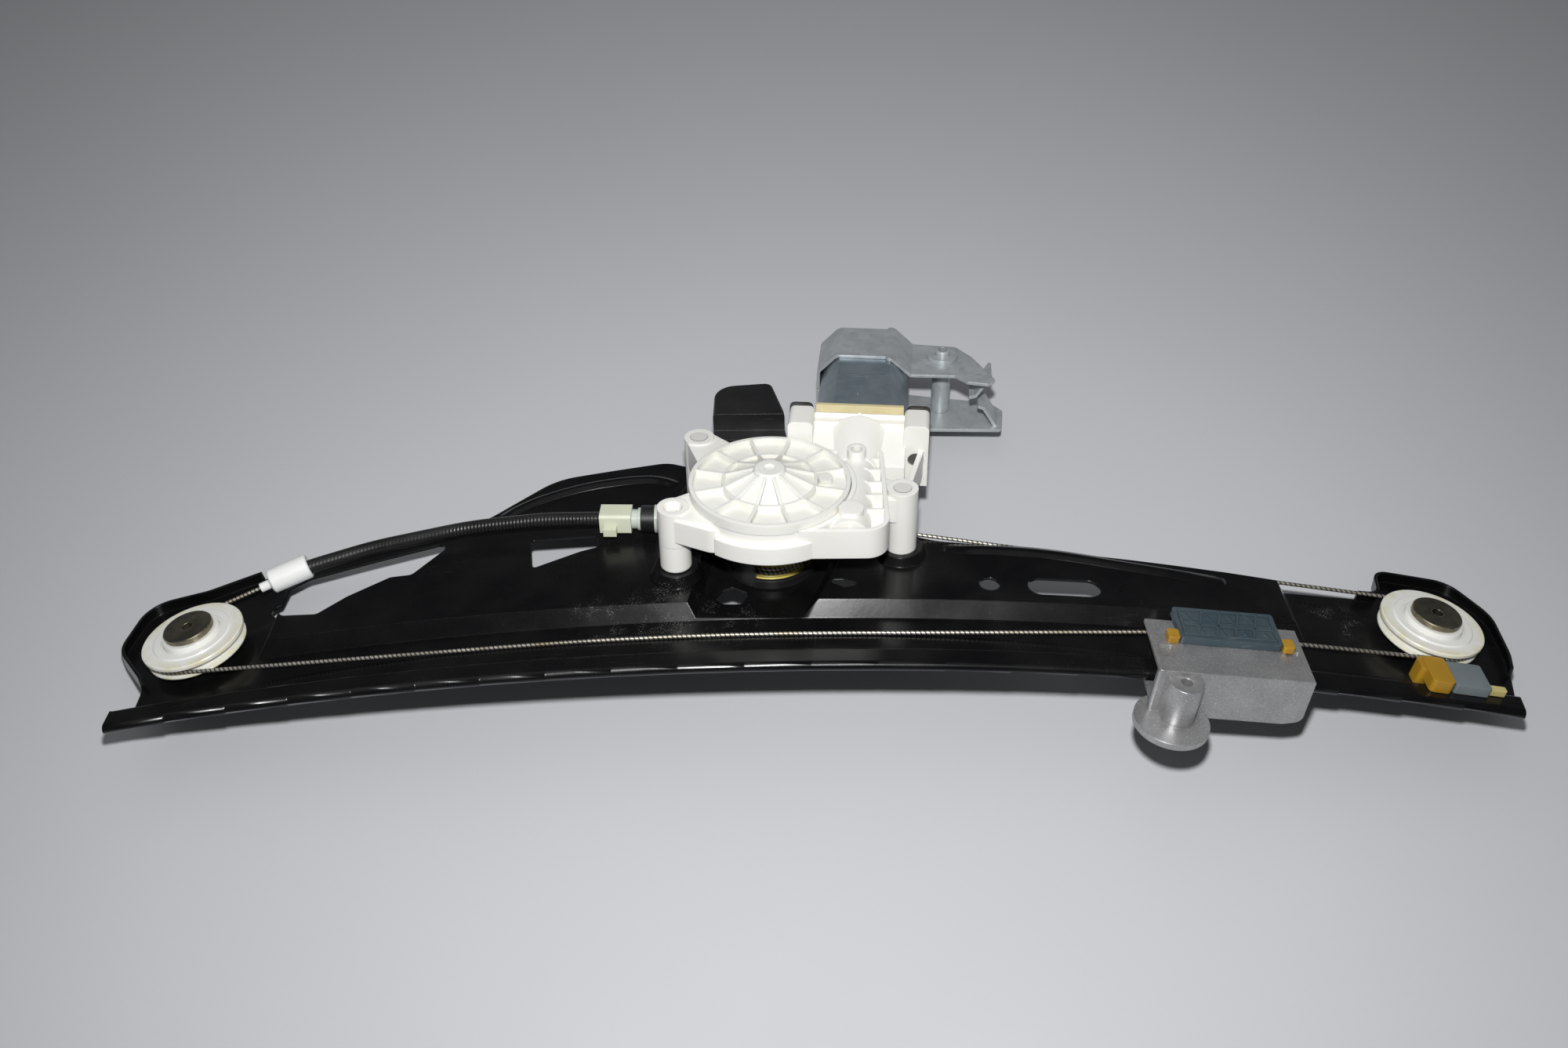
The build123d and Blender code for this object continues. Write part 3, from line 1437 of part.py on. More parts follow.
with BuildPart() as stop_peg:
    with BuildSketch(stop.offset(web_play)):
        with Locations((20.2, 9.5)):
            RectangleRounded(8, 3.4, 0.8)
    extrude(amount=3)
stop_peg.part.label = "stop_peg"
export_step(stop_peg.part, "parts/stop_peg.step")
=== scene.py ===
import math

import bmesh
import bpy
from mathutils import Matrix, Vector


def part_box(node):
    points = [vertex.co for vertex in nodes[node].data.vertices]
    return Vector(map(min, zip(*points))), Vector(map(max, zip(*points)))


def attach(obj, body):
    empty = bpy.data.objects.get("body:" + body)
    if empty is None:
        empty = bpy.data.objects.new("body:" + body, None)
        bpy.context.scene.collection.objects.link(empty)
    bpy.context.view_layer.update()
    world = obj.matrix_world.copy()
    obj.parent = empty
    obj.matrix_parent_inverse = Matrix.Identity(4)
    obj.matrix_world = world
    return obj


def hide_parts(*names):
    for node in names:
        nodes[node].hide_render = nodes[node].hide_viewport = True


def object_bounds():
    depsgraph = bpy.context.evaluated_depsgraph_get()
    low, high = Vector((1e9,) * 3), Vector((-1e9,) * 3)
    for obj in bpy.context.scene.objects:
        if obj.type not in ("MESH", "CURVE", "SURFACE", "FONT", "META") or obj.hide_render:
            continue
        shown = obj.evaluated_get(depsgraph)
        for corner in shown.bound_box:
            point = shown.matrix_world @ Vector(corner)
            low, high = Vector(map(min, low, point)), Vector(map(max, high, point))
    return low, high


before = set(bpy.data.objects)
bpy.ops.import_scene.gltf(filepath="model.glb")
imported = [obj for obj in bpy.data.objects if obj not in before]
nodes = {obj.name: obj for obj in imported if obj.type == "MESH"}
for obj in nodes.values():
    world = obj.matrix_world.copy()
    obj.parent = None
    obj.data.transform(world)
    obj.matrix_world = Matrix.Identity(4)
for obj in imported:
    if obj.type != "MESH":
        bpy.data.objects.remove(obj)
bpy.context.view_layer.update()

scene = bpy.context.scene


# Shared node helpers
class Wiring:
    def __init__(self, tree):
        self.tree = tree

    def add(self, kind, settings=None, inputs=None):
        node = self.tree.nodes.new(kind)
        for key, value in (settings or {}).items():
            setattr(node, key, value)
        for key, value in (inputs or {}).items():
            self.feed(node.inputs[key], value)
        return node

    def feed(self, socket, value):
        if isinstance(value, bpy.types.NodeSocket):
            self.tree.links.new(value, socket)
        else:
            socket.default_value = value

    def math(self, operation, first, second=0.0, clamp=False):
        node = self.add("ShaderNodeMath", {"operation": operation, "use_clamp": clamp})
        self.feed(node.inputs[0], first)
        self.feed(node.inputs[1], second)
        return node.outputs[0]

    def remap(self, value, low, high, newLow=0.0, newHigh=1.0):
        node = self.add("ShaderNodeMapRange", {"clamp": True})
        self.feed(node.inputs["Value"], value)
        self.feed(node.inputs["From Min"], low)
        self.feed(node.inputs["From Max"], high)
        self.feed(node.inputs["To Min"], newLow)
        self.feed(node.inputs["To Max"], newHigh)
        return node.outputs["Result"]

    def mix(self, mask, first, second):
        node = self.add("ShaderNodeMix", {"data_type": "RGBA"})
        self.feed(node.inputs["Factor"], mask)
        self.feed(node.inputs["A"], first)
        self.feed(node.inputs["B"], second)
        return node.outputs["Result"]

    def noise(self, coords, scale, detail=4.0, rough=0.55):
        node = self.add("ShaderNodeTexNoise", inputs={"Scale": scale, "Detail": detail, "Roughness": rough})
        self.feed(node.inputs["Vector"], coords)
        return node.outputs["Fac"]

    def cells(self, coords, scale):  # three random values for each cell
        node = self.add("ShaderNodeTexVoronoi", {"feature": "F1"}, {"Scale": scale})
        self.feed(node.inputs["Vector"], coords)
        pick = self.add("ShaderNodeSeparateColor")
        self.feed(pick.inputs[0], node.outputs["Color"])
        return pick.outputs

    def distance(self, coords, place):
        node = self.add("ShaderNodeVectorMath", {"operation": "DISTANCE"})
        self.feed(node.inputs[0], coords)
        node.inputs[1].default_value = place
        return node.outputs["Value"]

    def stretch(self, coords, scale, turn=(0.0, 0.0, 0.0)):
        node = self.add("ShaderNodeMapping", inputs={"Vector": coords, "Rotation": turn, "Scale": scale})
        return node.outputs["Vector"]


def colour(values):
    return (values[0], values[1], values[2], 1.0)


def newGroup(name, inputs, outputs):
    group = bpy.data.node_groups.new(name, "ShaderNodeTree")
    for label, kind, value in inputs:
        socket = group.interface.new_socket(name=label, in_out="INPUT", socket_type=kind)
        if value is not None:
            socket.default_value = value
    for label, kind in outputs:
        group.interface.new_socket(name=label, in_out="OUTPUT", socket_type=kind)
    wiring = Wiring(group)
    return group, wiring, wiring.add("NodeGroupInput"), wiring.add("NodeGroupOutput")


floatKind = "NodeSocketFloat"
vectorKind = "NodeSocketVector"


def makeEdgeWear():
    group, w, start, end = newGroup(
        "edgeWear",
        [("Radius", floatKind, 0.0006), ("Amount", floatKind, 0.5), ("Breakup", floatKind, 300.0)],
        [("Mask", floatKind)],
    )
    coords = w.add("ShaderNodeTexCoord").outputs["Object"]
    bevel = w.add("ShaderNodeBevel", {"samples": 4}, {"Radius": start.outputs["Radius"]})
    geometry = w.add("ShaderNodeNewGeometry")
    dot = w.add("ShaderNodeVectorMath", {"operation": "DOT_PRODUCT"})
    w.feed(dot.inputs[0], bevel.outputs[0])
    w.feed(dot.inputs[1], geometry.outputs["Normal"])
    edge = w.remap(dot.outputs["Value"], 0.995, 0.86)
    speck = w.remap(w.noise(coords, start.outputs["Breakup"]), 0.42, 0.62)
    worn = w.math("MULTIPLY", edge, speck)
    w.feed(end.inputs["Mask"], w.math("MULTIPLY", worn, start.outputs["Amount"], True))
    return group


# Recess tint found by ambient occlusion: brownish dirt on the black parts, and painted shade where it
# darkens the pale parts
def makeRecessGrimeAndShade():
    group, w, start, end = newGroup(
        "recessGrimeAndShade",
        [("Distance", floatKind, 0.004), ("Amount", floatKind, 0.5), ("Scale", floatKind, 90.0)],
        [("Mask", floatKind)],
    )
    coords = w.add("ShaderNodeTexCoord").outputs["Object"]
    cavity = w.add("ShaderNodeAmbientOcclusion", {"samples": 4}, {"Distance": start.outputs["Distance"]})
    shade = w.remap(cavity.outputs["AO"], 0.85, 0.25)
    patch = w.remap(w.noise(coords, start.outputs["Scale"]), 0.3, 0.65, 0.25, 1.0)
    dirtAndShade = w.math("MULTIPLY", shade, patch)
    w.feed(end.inputs["Mask"], w.math("MULTIPLY", dirtAndShade, start.outputs["Amount"], True))
    return group


def makeDustFilm():
    group, w, start, end = newGroup(
        "dustFilm",
        [("Scale", floatKind, 40.0), ("Amount", floatKind, 0.3), ("Fine", floatKind, 1400.0)],
        [("Mask", floatKind)],
    )
    coords = w.add("ShaderNodeTexCoord").outputs["Object"]
    geometry = w.add("ShaderNodeNewGeometry")
    upward = w.add("ShaderNodeSeparateXYZ", inputs={"Vector": geometry.outputs["Normal"]}).outputs["Z"]
    facing = w.remap(upward, 0.1, 0.95, 0.1, 1.0)
    film = w.remap(w.noise(coords, start.outputs["Scale"], 5.0), 0.4, 0.72)
    specks = w.remap(w.noise(coords, start.outputs["Fine"], 2.0), 0.62, 0.74)
    both = w.math("ADD", w.math("MULTIPLY", film, 0.6), specks, True)
    settled = w.math("MULTIPLY", both, facing)
    w.feed(end.inputs["Mask"], w.math("MULTIPLY", settled, start.outputs["Amount"], True))
    return group


def makeScuffs():
    group, w, start, end = newGroup(
        "scuffs",
        [("Scale", floatKind, 60.0), ("Amount", floatKind, 0.4), ("Turn", floatKind, 0.4)],
        [("Mask", floatKind)],
    )
    coords = w.add("ShaderNodeTexCoord").outputs["Object"]
    turn = w.add("ShaderNodeCombineXYZ", inputs={"Z": start.outputs["Turn"]}).outputs[0]
    lines = w.stretch(coords, (1.0, 26.0, 8.0), turn)
    streak = w.remap(w.noise(lines, start.outputs["Scale"], 3.0), 0.63, 0.7)
    other = w.stretch(coords, (22.0, 1.0, 6.0), turn)
    cross = w.remap(w.noise(other, start.outputs["Scale"], 3.0), 0.66, 0.72)
    place = w.remap(w.noise(coords, 24.0, 3.0), 0.48, 0.66)
    both = w.math("MULTIPLY", w.math("MAXIMUM", streak, cross), place)
    w.feed(end.inputs["Mask"], w.math("MULTIPLY", both, start.outputs["Amount"], True))
    return group


def makeFineGrain():
    group, w, start, end = newGroup(
        "fineGrain",
        [("Scale", floatKind, 900.0), ("Depth", floatKind, 0.00002), ("Radius", floatKind, 0.0004)],
        [("Normal", vectorKind)],
    )
    coords = w.add("ShaderNodeTexCoord").outputs["Object"]
    bevel = w.add("ShaderNodeBevel", {"samples": 4}, {"Radius": start.outputs["Radius"]})
    broad = w.noise(coords, w.math("MULTIPLY", start.outputs["Scale"], 0.12), 2.0)
    fine = w.noise(coords, start.outputs["Scale"], 4.0)
    height = w.math("ADD", fine, w.math("MULTIPLY", broad, 2.0))
    bump = w.add("ShaderNodeBump", inputs={
        "Strength": 1.0, "Distance": start.outputs["Depth"], "Height": height, "Normal": bevel.outputs[0]})
    w.feed(end.inputs["Normal"], bump.outputs[0])
    return group


edgeWear = makeEdgeWear()
recessGrimeAndShade = makeRecessGrimeAndShade()
dustFilm = makeDustFilm()
scuffs = makeScuffs()
fineGrain = makeFineGrain()
print("shader groups made")


def useGroup(w, group, values):
    node = w.add("ShaderNodeGroup", {"node_tree": group})
    for key, value in values.items():
        node.inputs[key].default_value = value
    return node


# What a surface has where its own dictionary says nothing
commonLook = {
    # the grime keys tint the recesses: partly dirt, partly painted shade
    "driftScale": 35.0, "grimeAndShadeReach": 0.004, "grimeAndShade": 0.4, "grimeAndShadeColour": (0.05, 0.04, 0.03),
    "scuff": 0.3, "scuffTurn": 0.4, "scuffColour": (0.3, 0.3, 0.3), "edgeWidth": 0.0005, "edge": 0.3,
    "edgeColour": (0.5, 0.5, 0.5), "dustScale": 40.0, "dust": 0.15, "dustColour": (0.36, 0.34, 0.31),
    "grainScale": 900.0, "grain": 0.00001, "round": 0.0004, "roughScale": 60.0, "metal": 0.0,
    "ior": 1.5, "coat": 0.0, "coatRough": 0.1, "glow": 0.0, "glowReach": 0.002,
    "glowTint": (1.0, 0.9, 0.7), "dullness": 0.5,
}


# One worn surface: base colour with drift, grime and painted shade in recesses, dust on top, wear on edges
def wornMaterial(name, ownLook):
    look = {**commonLook, **ownLook}
    material = bpy.data.materials.new(name)
    material.use_nodes = True
    tree = material.node_tree
    tree.nodes.clear()
    w = Wiring(tree)
    coords = w.add("ShaderNodeTexCoord").outputs["Object"]
    drift = w.remap(w.noise(coords, look["driftScale"], 5.0), 0.35, 0.65)
    tone = w.mix(drift, colour(look["base"]), colour(look["second"]))
    if "extra" in look:
        tone = look["extra"](w, coords, tone)
    # recess tint: grime, and painted shade where the tint is darker than the surface
    grimeAndShade = useGroup(w, recessGrimeAndShade, {"Distance": look["grimeAndShadeReach"], "Amount": look["grimeAndShade"]})
    tone = w.mix(grimeAndShade.outputs["Mask"], tone, colour(look["grimeAndShadeColour"]))
    scuff = useGroup(w, scuffs, {"Amount": look["scuff"], "Turn": look["scuffTurn"]}).outputs["Mask"]
    tone = w.mix(scuff, tone, colour(look["scuffColour"]))
    edge = useGroup(w, edgeWear, {"Radius": look["edgeWidth"], "Amount": look["edge"]})
    tone = w.mix(edge.outputs["Mask"], tone, colour(look["edgeColour"]))
    dust = useGroup(w, dustFilm, {"Scale": look["dustScale"], "Amount": look["dust"]}).outputs["Mask"]
    tone = w.mix(dust, tone, colour(look["dustColour"]))
    grain = useGroup(w, fineGrain, {
        "Scale": look["grainScale"], "Depth": look["grain"], "Radius": look["round"]}).outputs["Normal"]
    rough = w.remap(w.noise(coords, look["roughScale"], 4.0), 0.3, 0.7, *look["rough"])
    dull = w.math("MULTIPLY", w.math("MAXIMUM", dust, scuff), look["dullness"])
    rough = w.math("ADD", rough, dull, True)
    if "relief" in look:
        grain = w.add("ShaderNodeBump", inputs={
            "Strength": 1.0, "Distance": look["reliefDepth"], "Height": look["relief"](w, coords),
            "Normal": grain}).outputs[0]
    shader = w.add("ShaderNodeBsdfPrincipled", inputs={
        "Base Color": tone, "Roughness": rough, "Normal": grain, "Metallic": look["metal"],
        "IOR": look["ior"], "Coat Weight": look["coat"], "Coat Roughness": look["coatRough"],
        "Subsurface Weight": look["glow"], "Subsurface Scale": look["glowReach"],
        "Subsurface Radius": look["glowTint"]})
    output = w.add("ShaderNodeOutputMaterial")
    w.feed(output.inputs["Surface"], shader.outputs[0])
    return material


def dress(material, *names):
    for name in names:
        mesh = nodes[name].data
        mesh.materials.clear()
        mesh.materials.append(material)


# Where things are on the bent rail, and how a piece is made
railShape = {
    "origin": (-0.0762689, -0.0496342, 0.0204973), "lean": math.radians(22.5), "radius": 1.496,
    "padLevel": 0.002, "drumAxis": (-0.0204, 0.077),
}
leanCos = math.cos(railShape["lean"])
leanSin = math.sin(railShape["lean"])


def deckPoint(x, y, z=0.0):
    start = railShape["origin"]
    across = y * leanCos + z * leanSin
    return Vector((start[0] + x, start[1] + across, start[2] - y * leanSin + z * leanCos))


def onRail(along, across, height=0.0):  # a place on the bent sheet
    angle = along / railShape["radius"]
    reach = railShape["radius"] + height
    return deckPoint(reach * math.sin(angle), across, reach * math.cos(angle) - railShape["radius"])


def standing(foot, turn=0.0):  # the frame that stands square on the deck at that place
    axes = Matrix(((1, 0, 0), (0, leanCos, leanSin), (0, -leanSin, leanCos))).to_4x4()
    return Matrix.Translation(foot) @ axes @ Matrix.Rotation(turn, 4, "Y")


weldGap = 0.000001  # points nearer than this are joined


def finishPiece(name, bm, material, body, sharp=32.0):
    bmesh.ops.remove_doubles(bm, verts=bm.verts, dist=weldGap)
    bmesh.ops.recalc_face_normals(bm, faces=bm.faces)
    mesh = bpy.data.meshes.new(name)
    bm.to_mesh(mesh)
    bm.free()
    mesh.shade_smooth()
    mesh.set_sharp_from_angle(angle=math.radians(sharp))
    mesh.materials.append(material)
    piece = bpy.data.objects.new(name, mesh)
    scene.collection.objects.link(piece)
    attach(piece, body)
    return piece


def turned(bm, frameMatrix, profile, steps=96):  # a closed profile of (radius, height) turned round
    rings = []
    for step in range(steps):
        angle = 2 * math.pi * step / steps
        side, front = math.cos(angle), math.sin(angle)
        rings.append([bm.verts.new(frameMatrix @ Vector((r * side, r * front, h))) for r, h in profile])
    for step in range(steps):
        here, there = rings[step], rings[(step + 1) % steps]
        for i in range(len(profile)):
            j = (i + 1) % len(profile)
            bm.faces.new((here[i], there[i], there[j], here[j]))


def wedge(bm, frameMatrix, outline, thick):  # an outline of (radius, height) with that thickness
    sides = [
        [bm.verts.new(frameMatrix @ Vector((r, side * thick / 2, h))) for r, h in outline]
        for side in (-1, 1)]
    bm.faces.new(sides[0])
    bm.faces.new(list(reversed(sides[1])))
    for i in range(len(outline)):
        j = (i + 1) % len(outline)
        bm.faces.new((sides[0][i], sides[1][i], sides[1][j], sides[0][j]))


# Carrier plate: black paint with pale specks
speckLook = {
    "tint": (0.34, 0.34, 0.33, 1.0), "full": 0.35, "clusterScale": 130.0, "cluster": (0.48, 0.64),
    "fineScale": 2300.0, "fine": (0.6, 0.68),
}


def saltySpecks(places):  # pale specks round some places, each with its reach
    def tint(w, coords, tone):
        near = None
        for place, reach in places:
            part = w.remap(w.distance(coords, place), reach, reach * speckLook["full"])
            near = part if near is None else w.math("MAXIMUM", near, part)
        cluster = w.remap(w.noise(coords, speckLook["clusterScale"], 3.0), *speckLook["cluster"])
        speck = w.remap(w.noise(coords, speckLook["fineScale"], 2.0), *speckLook["fine"])
        mask = w.math("MULTIPLY", w.math("MULTIPLY", near, cluster), speck)
        return w.mix(mask, tone, speckLook["tint"])
    return tint


plateLook = {
    "base": (0.0025, 0.0025, 0.003), "second": (0.004, 0.004, 0.0045), "rough": (0.18, 0.28),
    "ior": 1.36, "coat": 0.05, "coatRough": 0.1, "scuff": 0.12, "scuffColour": (0.08, 0.08, 0.08),
    "dust": 0.04, "dustColour": (0.16, 0.155, 0.15), "edge": 0.12, "edgeColour": (0.12, 0.12, 0.12),
    "grimeAndShade": 0.12, "grimeAndShadeColour": (0.03, 0.028, 0.025), "grain": 0.000012, "grainScale": 500.0,
    "round": 0.0008, "roughScale": 25.0,
    "extra": saltySpecks([
        (onRail(-0.066, 0.038), 0.022), (onRail(-0.040, 0.036), 0.02), (onRail(-0.095, 0.036), 0.016),
        (onRail(0.235, 0.055), 0.018)]),
}
blackPaint = wornMaterial("blackPaint", plateLook)
dress(blackPaint, "carrier_plate")

# Beads pressed up in the sheet: along the arm, and along the rear edge right of the motor
beadLook = {
    "routes": {  # along and across the rail
        "armBead": [(-0.150, 0.1145), (-0.134, 0.1275), (-0.108, 0.1375), (-0.080, 0.140), (-0.066, 0.133)],
        "rearBead": [(0.056, 0.0795), (0.100, 0.0785), (0.140, 0.0722), (0.186, 0.0652)],
    },
    "rise": {"armBead": 0.0017, "rearBead": 0.0016},
    "width": 0.008, "sunk": 0.00012, "sheet": 0.0006, "fullness": 1.4, "sharp": 60.0,
    "steps": 8, "fadeRows": 4, "strips": 10,
}


def smoothRoute(spots, steps):  # a smooth line through the route's points
    rows = []
    last = len(spots) - 1
    for i in range(last):
        four = (spots[max(i - 1, 0)], spots[i], spots[i + 1], spots[min(i + 2, last)])
        for step in range(steps):
            t = step / steps
            rows.append([
                0.5 * (2 * b + (c - a) * t + (2 * a - 5 * b + 4 * c - d) * t * t
                       + (3 * b - a - 3 * c + d) * t ** 3)
                for a, b, c, d in zip(*four)])
    rows.append(spots[last])
    return rows


def pressedBead(name, route, rise):
    bm = bmesh.new()
    rows = smoothRoute(route, beadLook["steps"])
    last = len(rows) - 1
    strips = beadLook["strips"]
    grid = []
    for i, (along, across) in enumerate(rows):
        ahead, back = rows[min(i + 1, last)], rows[max(i - 1, 0)]
        way = Vector((ahead[0] - back[0], ahead[1] - back[1])).normalized()
        fade = min(1.0, min(i, last - i) / beadLook["fadeRows"])  # both ends run out into the sheet
        line = []
        for k in range(strips + 1):
            t = 2 * k / strips - 1
            out = t * beadLook["width"] / 2
            crown = rise * fade * math.cos(t * math.pi / 2) ** beadLook["fullness"] if abs(t) < 1 else 0.0
            height = railShape["padLevel"] + crown - beadLook["sunk"]
            line.append(bm.verts.new(onRail(along - way.y * out, across + way.x * out, height)))
        grid.append(line)
    for first, second in zip(grid, grid[1:]):
        for k in range(strips):
            bm.faces.new((first[k], first[k + 1], second[k + 1], second[k]))
    piece = finishPiece(name, bm, blackPaint, "carrier", beadLook["sharp"])
    piece.modifiers.new("sheet", "SOLIDIFY").thickness = beadLook["sheet"]


for name, route in beadLook["routes"].items():
    pressedBead(name, route, beadLook["rise"][name])
print("beads pressed")

# Axles: dull zinc, bright where the edges are worn
axleLook = {
    "base": (0.2, 0.18, 0.14), "second": (0.3, 0.27, 0.19), "metal": 1.0, "rough": (0.3, 0.5),
    "edge": 0.9, "edgeColour": (0.72, 0.66, 0.42), "edgeWidth": 0.0009, "scuff": 0.6,
    "scuffColour": (0.4, 0.36, 0.3), "dust": 0.1, "grain": 0.00002, "driftScale": 260.0,
}
dress(wornMaterial("zincAxle", axleLook), "left_axle", "right_axle")


# Pulleys: slick white plastic, a little yellow with old grease at the rim
rimLook = {
    "tint": (0.76, 0.72, 0.52, 1.0), "from": 0.0185, "to": 0.0222, "patchScale": 160.0,
    "patch": (0.35, 0.62),
}


def greaseAtRim(centres):
    def tint(w, coords, tone):
        reach = None
        for centre in centres:
            gap = w.distance(coords, centre)
            reach = gap if reach is None else w.math("MINIMUM", reach, gap)
        rim = w.remap(reach, rimLook["from"], rimLook["to"])
        patch = w.remap(w.noise(coords, rimLook["patchScale"]), *rimLook["patch"])
        return w.mix(w.math("MULTIPLY", rim, patch), tone, rimLook["tint"])
    return tint


def middle(name):
    low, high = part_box(name)
    return (low + high) / 2


pulleyLook = {
    "base": (0.86, 0.865, 0.83), "second": (0.82, 0.82, 0.77), "rough": (0.16, 0.28), "glow": 0.3,
    "glowReach": 0.003, "grimeAndShade": 0.1, "grimeAndShadeColour": (0.4, 0.34, 0.22), "edge": 0.0, "scuff": 0.1,
    "scuffColour": (0.5, 0.48, 0.43), "dust": 0.03, "grain": 0.00001,
    "extra": greaseAtRim([middle("left_pulley"), middle("right_pulley")]),
}
pulleyPlastic = wornMaterial("pulleyPlastic", pulleyLook)
dress(pulleyPlastic, "left_pulley", "right_pulley")

# The upper flange stands taller and a little wider than the lower one
flangeLook = {
    "profile": [
        (0.0169, 0.0057), (0.0225, 0.0054), (0.0229, 0.0059), (0.0229, 0.0073), (0.0226, 0.0077),
        (0.0176, 0.0077), (0.0172, 0.0083), (0.0140, 0.0083), (0.0138, 0.0060)],
    "across": 0.0456, "left": -0.279, "right": 0.2728, "steps": 128,
}
for side in ("left", "right"):
    bm = bmesh.new()
    along = flangeLook[side]
    place = standing(onRail(along, flangeLook["across"]), along / railShape["radius"])
    turned(bm, place, flangeLook["profile"], flangeLook["steps"])
    finishPiece(side + "PulleyFlange", bm, pulleyPlastic, side + "_wheel")
print("pulley flanges made")

# Cables: twisted strands with grease
strandLook = {
    "slant": (1.0, 0.55, 0.25), "scale": 300.0, "ragged": 0.3, "gap": (0.05, 0.5),
    "gapTint": (0.07, 0.06, 0.05, 1.0), "grease": 0.6, "greaseTint": (0.3, 0.2, 0.07, 1.0),
    "patchScale": 45.0, "patch": (0.55, 0.7),
}


def strands(w, coords, tone):
    slanted = w.stretch(coords, strandLook["slant"])
    wave = w.add("ShaderNodeTexWave", {"wave_type": "BANDS", "bands_direction": "DIAGONAL"}, {
        "Scale": strandLook["scale"], "Distortion": strandLook["ragged"], "Detail": 0.0})
    w.feed(wave.inputs["Vector"], slanted)
    dark = w.remap(wave.outputs["Fac"], *strandLook["gap"])
    grease = w.remap(w.noise(coords, strandLook["patchScale"]), *strandLook["patch"])
    tinted = w.mix(w.math("MULTIPLY", grease, strandLook["grease"]), tone, strandLook["greaseTint"])
    return w.mix(dark, strandLook["gapTint"], tinted)


cableLook = {
    "base": (0.56, 0.55, 0.5), "second": (0.46, 0.43, 0.36), "metal": 0.8, "rough": (0.3, 0.5),
    "extra": strands, "scuff": 0.0, "edge": 0.0, "dust": 0.05, "grimeAndShade": 0.2, "grain": 0.00003,
}
steelCable = wornMaterial("steelCable", cableLook)
dress(steelCable, "front_cable", "rear_cable", "upper_cable", "drum_windings")

# Two turns left on the drum, so that its yellow grooves show
unitFrame = standing(deckPoint(*railShape["drumAxis"]))
turnsLook = {
    "radius": 0.0165, "top": 0.0056, "pitch": 0.0022, "turns": 2, "cable": 0.00085, "steps": 48,
}
turnsCurve = bpy.data.curves.new("drumTurns", "CURVE")
turnsCurve.dimensions = "3D"
turnsCurve.bevel_depth = turnsLook["cable"]
turnsCurve.bevel_resolution = 4
spline = turnsCurve.splines.new("NURBS")
turnCount = turnsLook["steps"] * turnsLook["turns"]
spline.points.add(turnCount)
for i in range(turnCount + 1):
    angle = 2 * math.pi * i / turnsLook["steps"]
    spot = unitFrame @ Vector((
        turnsLook["radius"] * math.cos(angle), turnsLook["radius"] * math.sin(angle),
        turnsLook["top"] - turnsLook["pitch"] * i / turnsLook["steps"]))
    spline.points[i].co = (*spot, 1.0)
spline.order_u = 3
spline.use_endpoint_u = True
drumTurns = bpy.data.objects.new("drumTurns", turnsCurve)
scene.collection.objects.link(drumTurns)
turnsCurve.materials.append(steelCable)
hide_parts("drum_windings")
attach(drumTurns, "drum")

# Conduit and its fittings
ringLook = {"scale": 190.0, "from": -0.25, "full": -0.235, "faint": 0.12}


def sheathRings(w, coords):  # fine rings on the half towards the drum, faint on the other
    rings = w.add("ShaderNodeTexWave", {"wave_type": "BANDS", "bands_direction": "X"}, {
        "Scale": ringLook["scale"], "Distortion": 0.0, "Detail": 0.0})
    w.feed(rings.inputs["Vector"], coords)
    along = w.add("ShaderNodeSeparateXYZ", inputs={"Vector": coords}).outputs["X"]
    depth = w.remap(along, ringLook["from"], ringLook["full"], ringLook["faint"], 1.0)
    return w.math("MULTIPLY", rings.outputs["Fac"], depth)


conduitLook = {
    "base": (0.006, 0.006, 0.0065), "second": (0.009, 0.009, 0.0095), "rough": (0.28, 0.45),
    "scuff": 0.2, "scuffColour": (0.07, 0.07, 0.07), "dust": 0.05, "grain": 0.00003, "grainScale": 350.0,
    "relief": sheathRings, "reliefDepth": 0.00025,
}
dress(wornMaterial("conduitSheath", conduitLook), "conduit")
capLook = {
    "base": (0.88, 0.88, 0.87), "second": (0.84, 0.84, 0.82), "rough": (0.28, 0.4), "glow": 0.3,
    "grimeAndShade": 0.4, "grimeAndShadeColour": (0.35, 0.3, 0.22), "edge": 0.0, "scuff": 0.15, "dust": 0.06,
}
capPlastic = wornMaterial("capPlastic", capLook)
dress(capPlastic, "conduit_cap")

# The cap's thick barrel, turned round the axis that the CAD cap lies on
barrelLook = {
    "radius": 0.0058, "edge": 0.0007, "start": -0.0075, "end": 0.0112, "bore": 0.004, "steps": 64,
    "tubeSpots": 60, "cableSpots": 12,  # how many near points give each end of the axis
}
capMiddle = middle("conduit_cap")
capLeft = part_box("conduit_cap")[0].x


def nearMean(spots, count):  # the mean of the spots that lie nearest to the cap
    return sum(sorted(spots, key=lambda v: (v - capMiddle).length)[:count], Vector()) / count


mouth = nearMean([v.co for v in nodes["conduit"].data.vertices], barrelLook["tubeSpots"])
cableSpots = [v.co for v in nodes["upper_cable"].data.vertices if v.co.x < capLeft]
capWay = (mouth - nearMean(cableSpots, barrelLook["cableSpots"])).normalized()
place = Matrix.Translation(capMiddle) @ capWay.to_track_quat("Z", "Y").to_matrix().to_4x4()
outer, start, end, edge = (barrelLook[key] for key in ("radius", "start", "end", "edge"))
bm = bmesh.new()
turned(bm, place, [
    (barrelLook["bore"], start), (outer - edge, start), (outer, start + edge), (outer, end - edge),
    (outer - edge, end), (barrelLook["bore"], end)], barrelLook["steps"])
finishPiece("capBarrel", bm, capPlastic, "carrier")

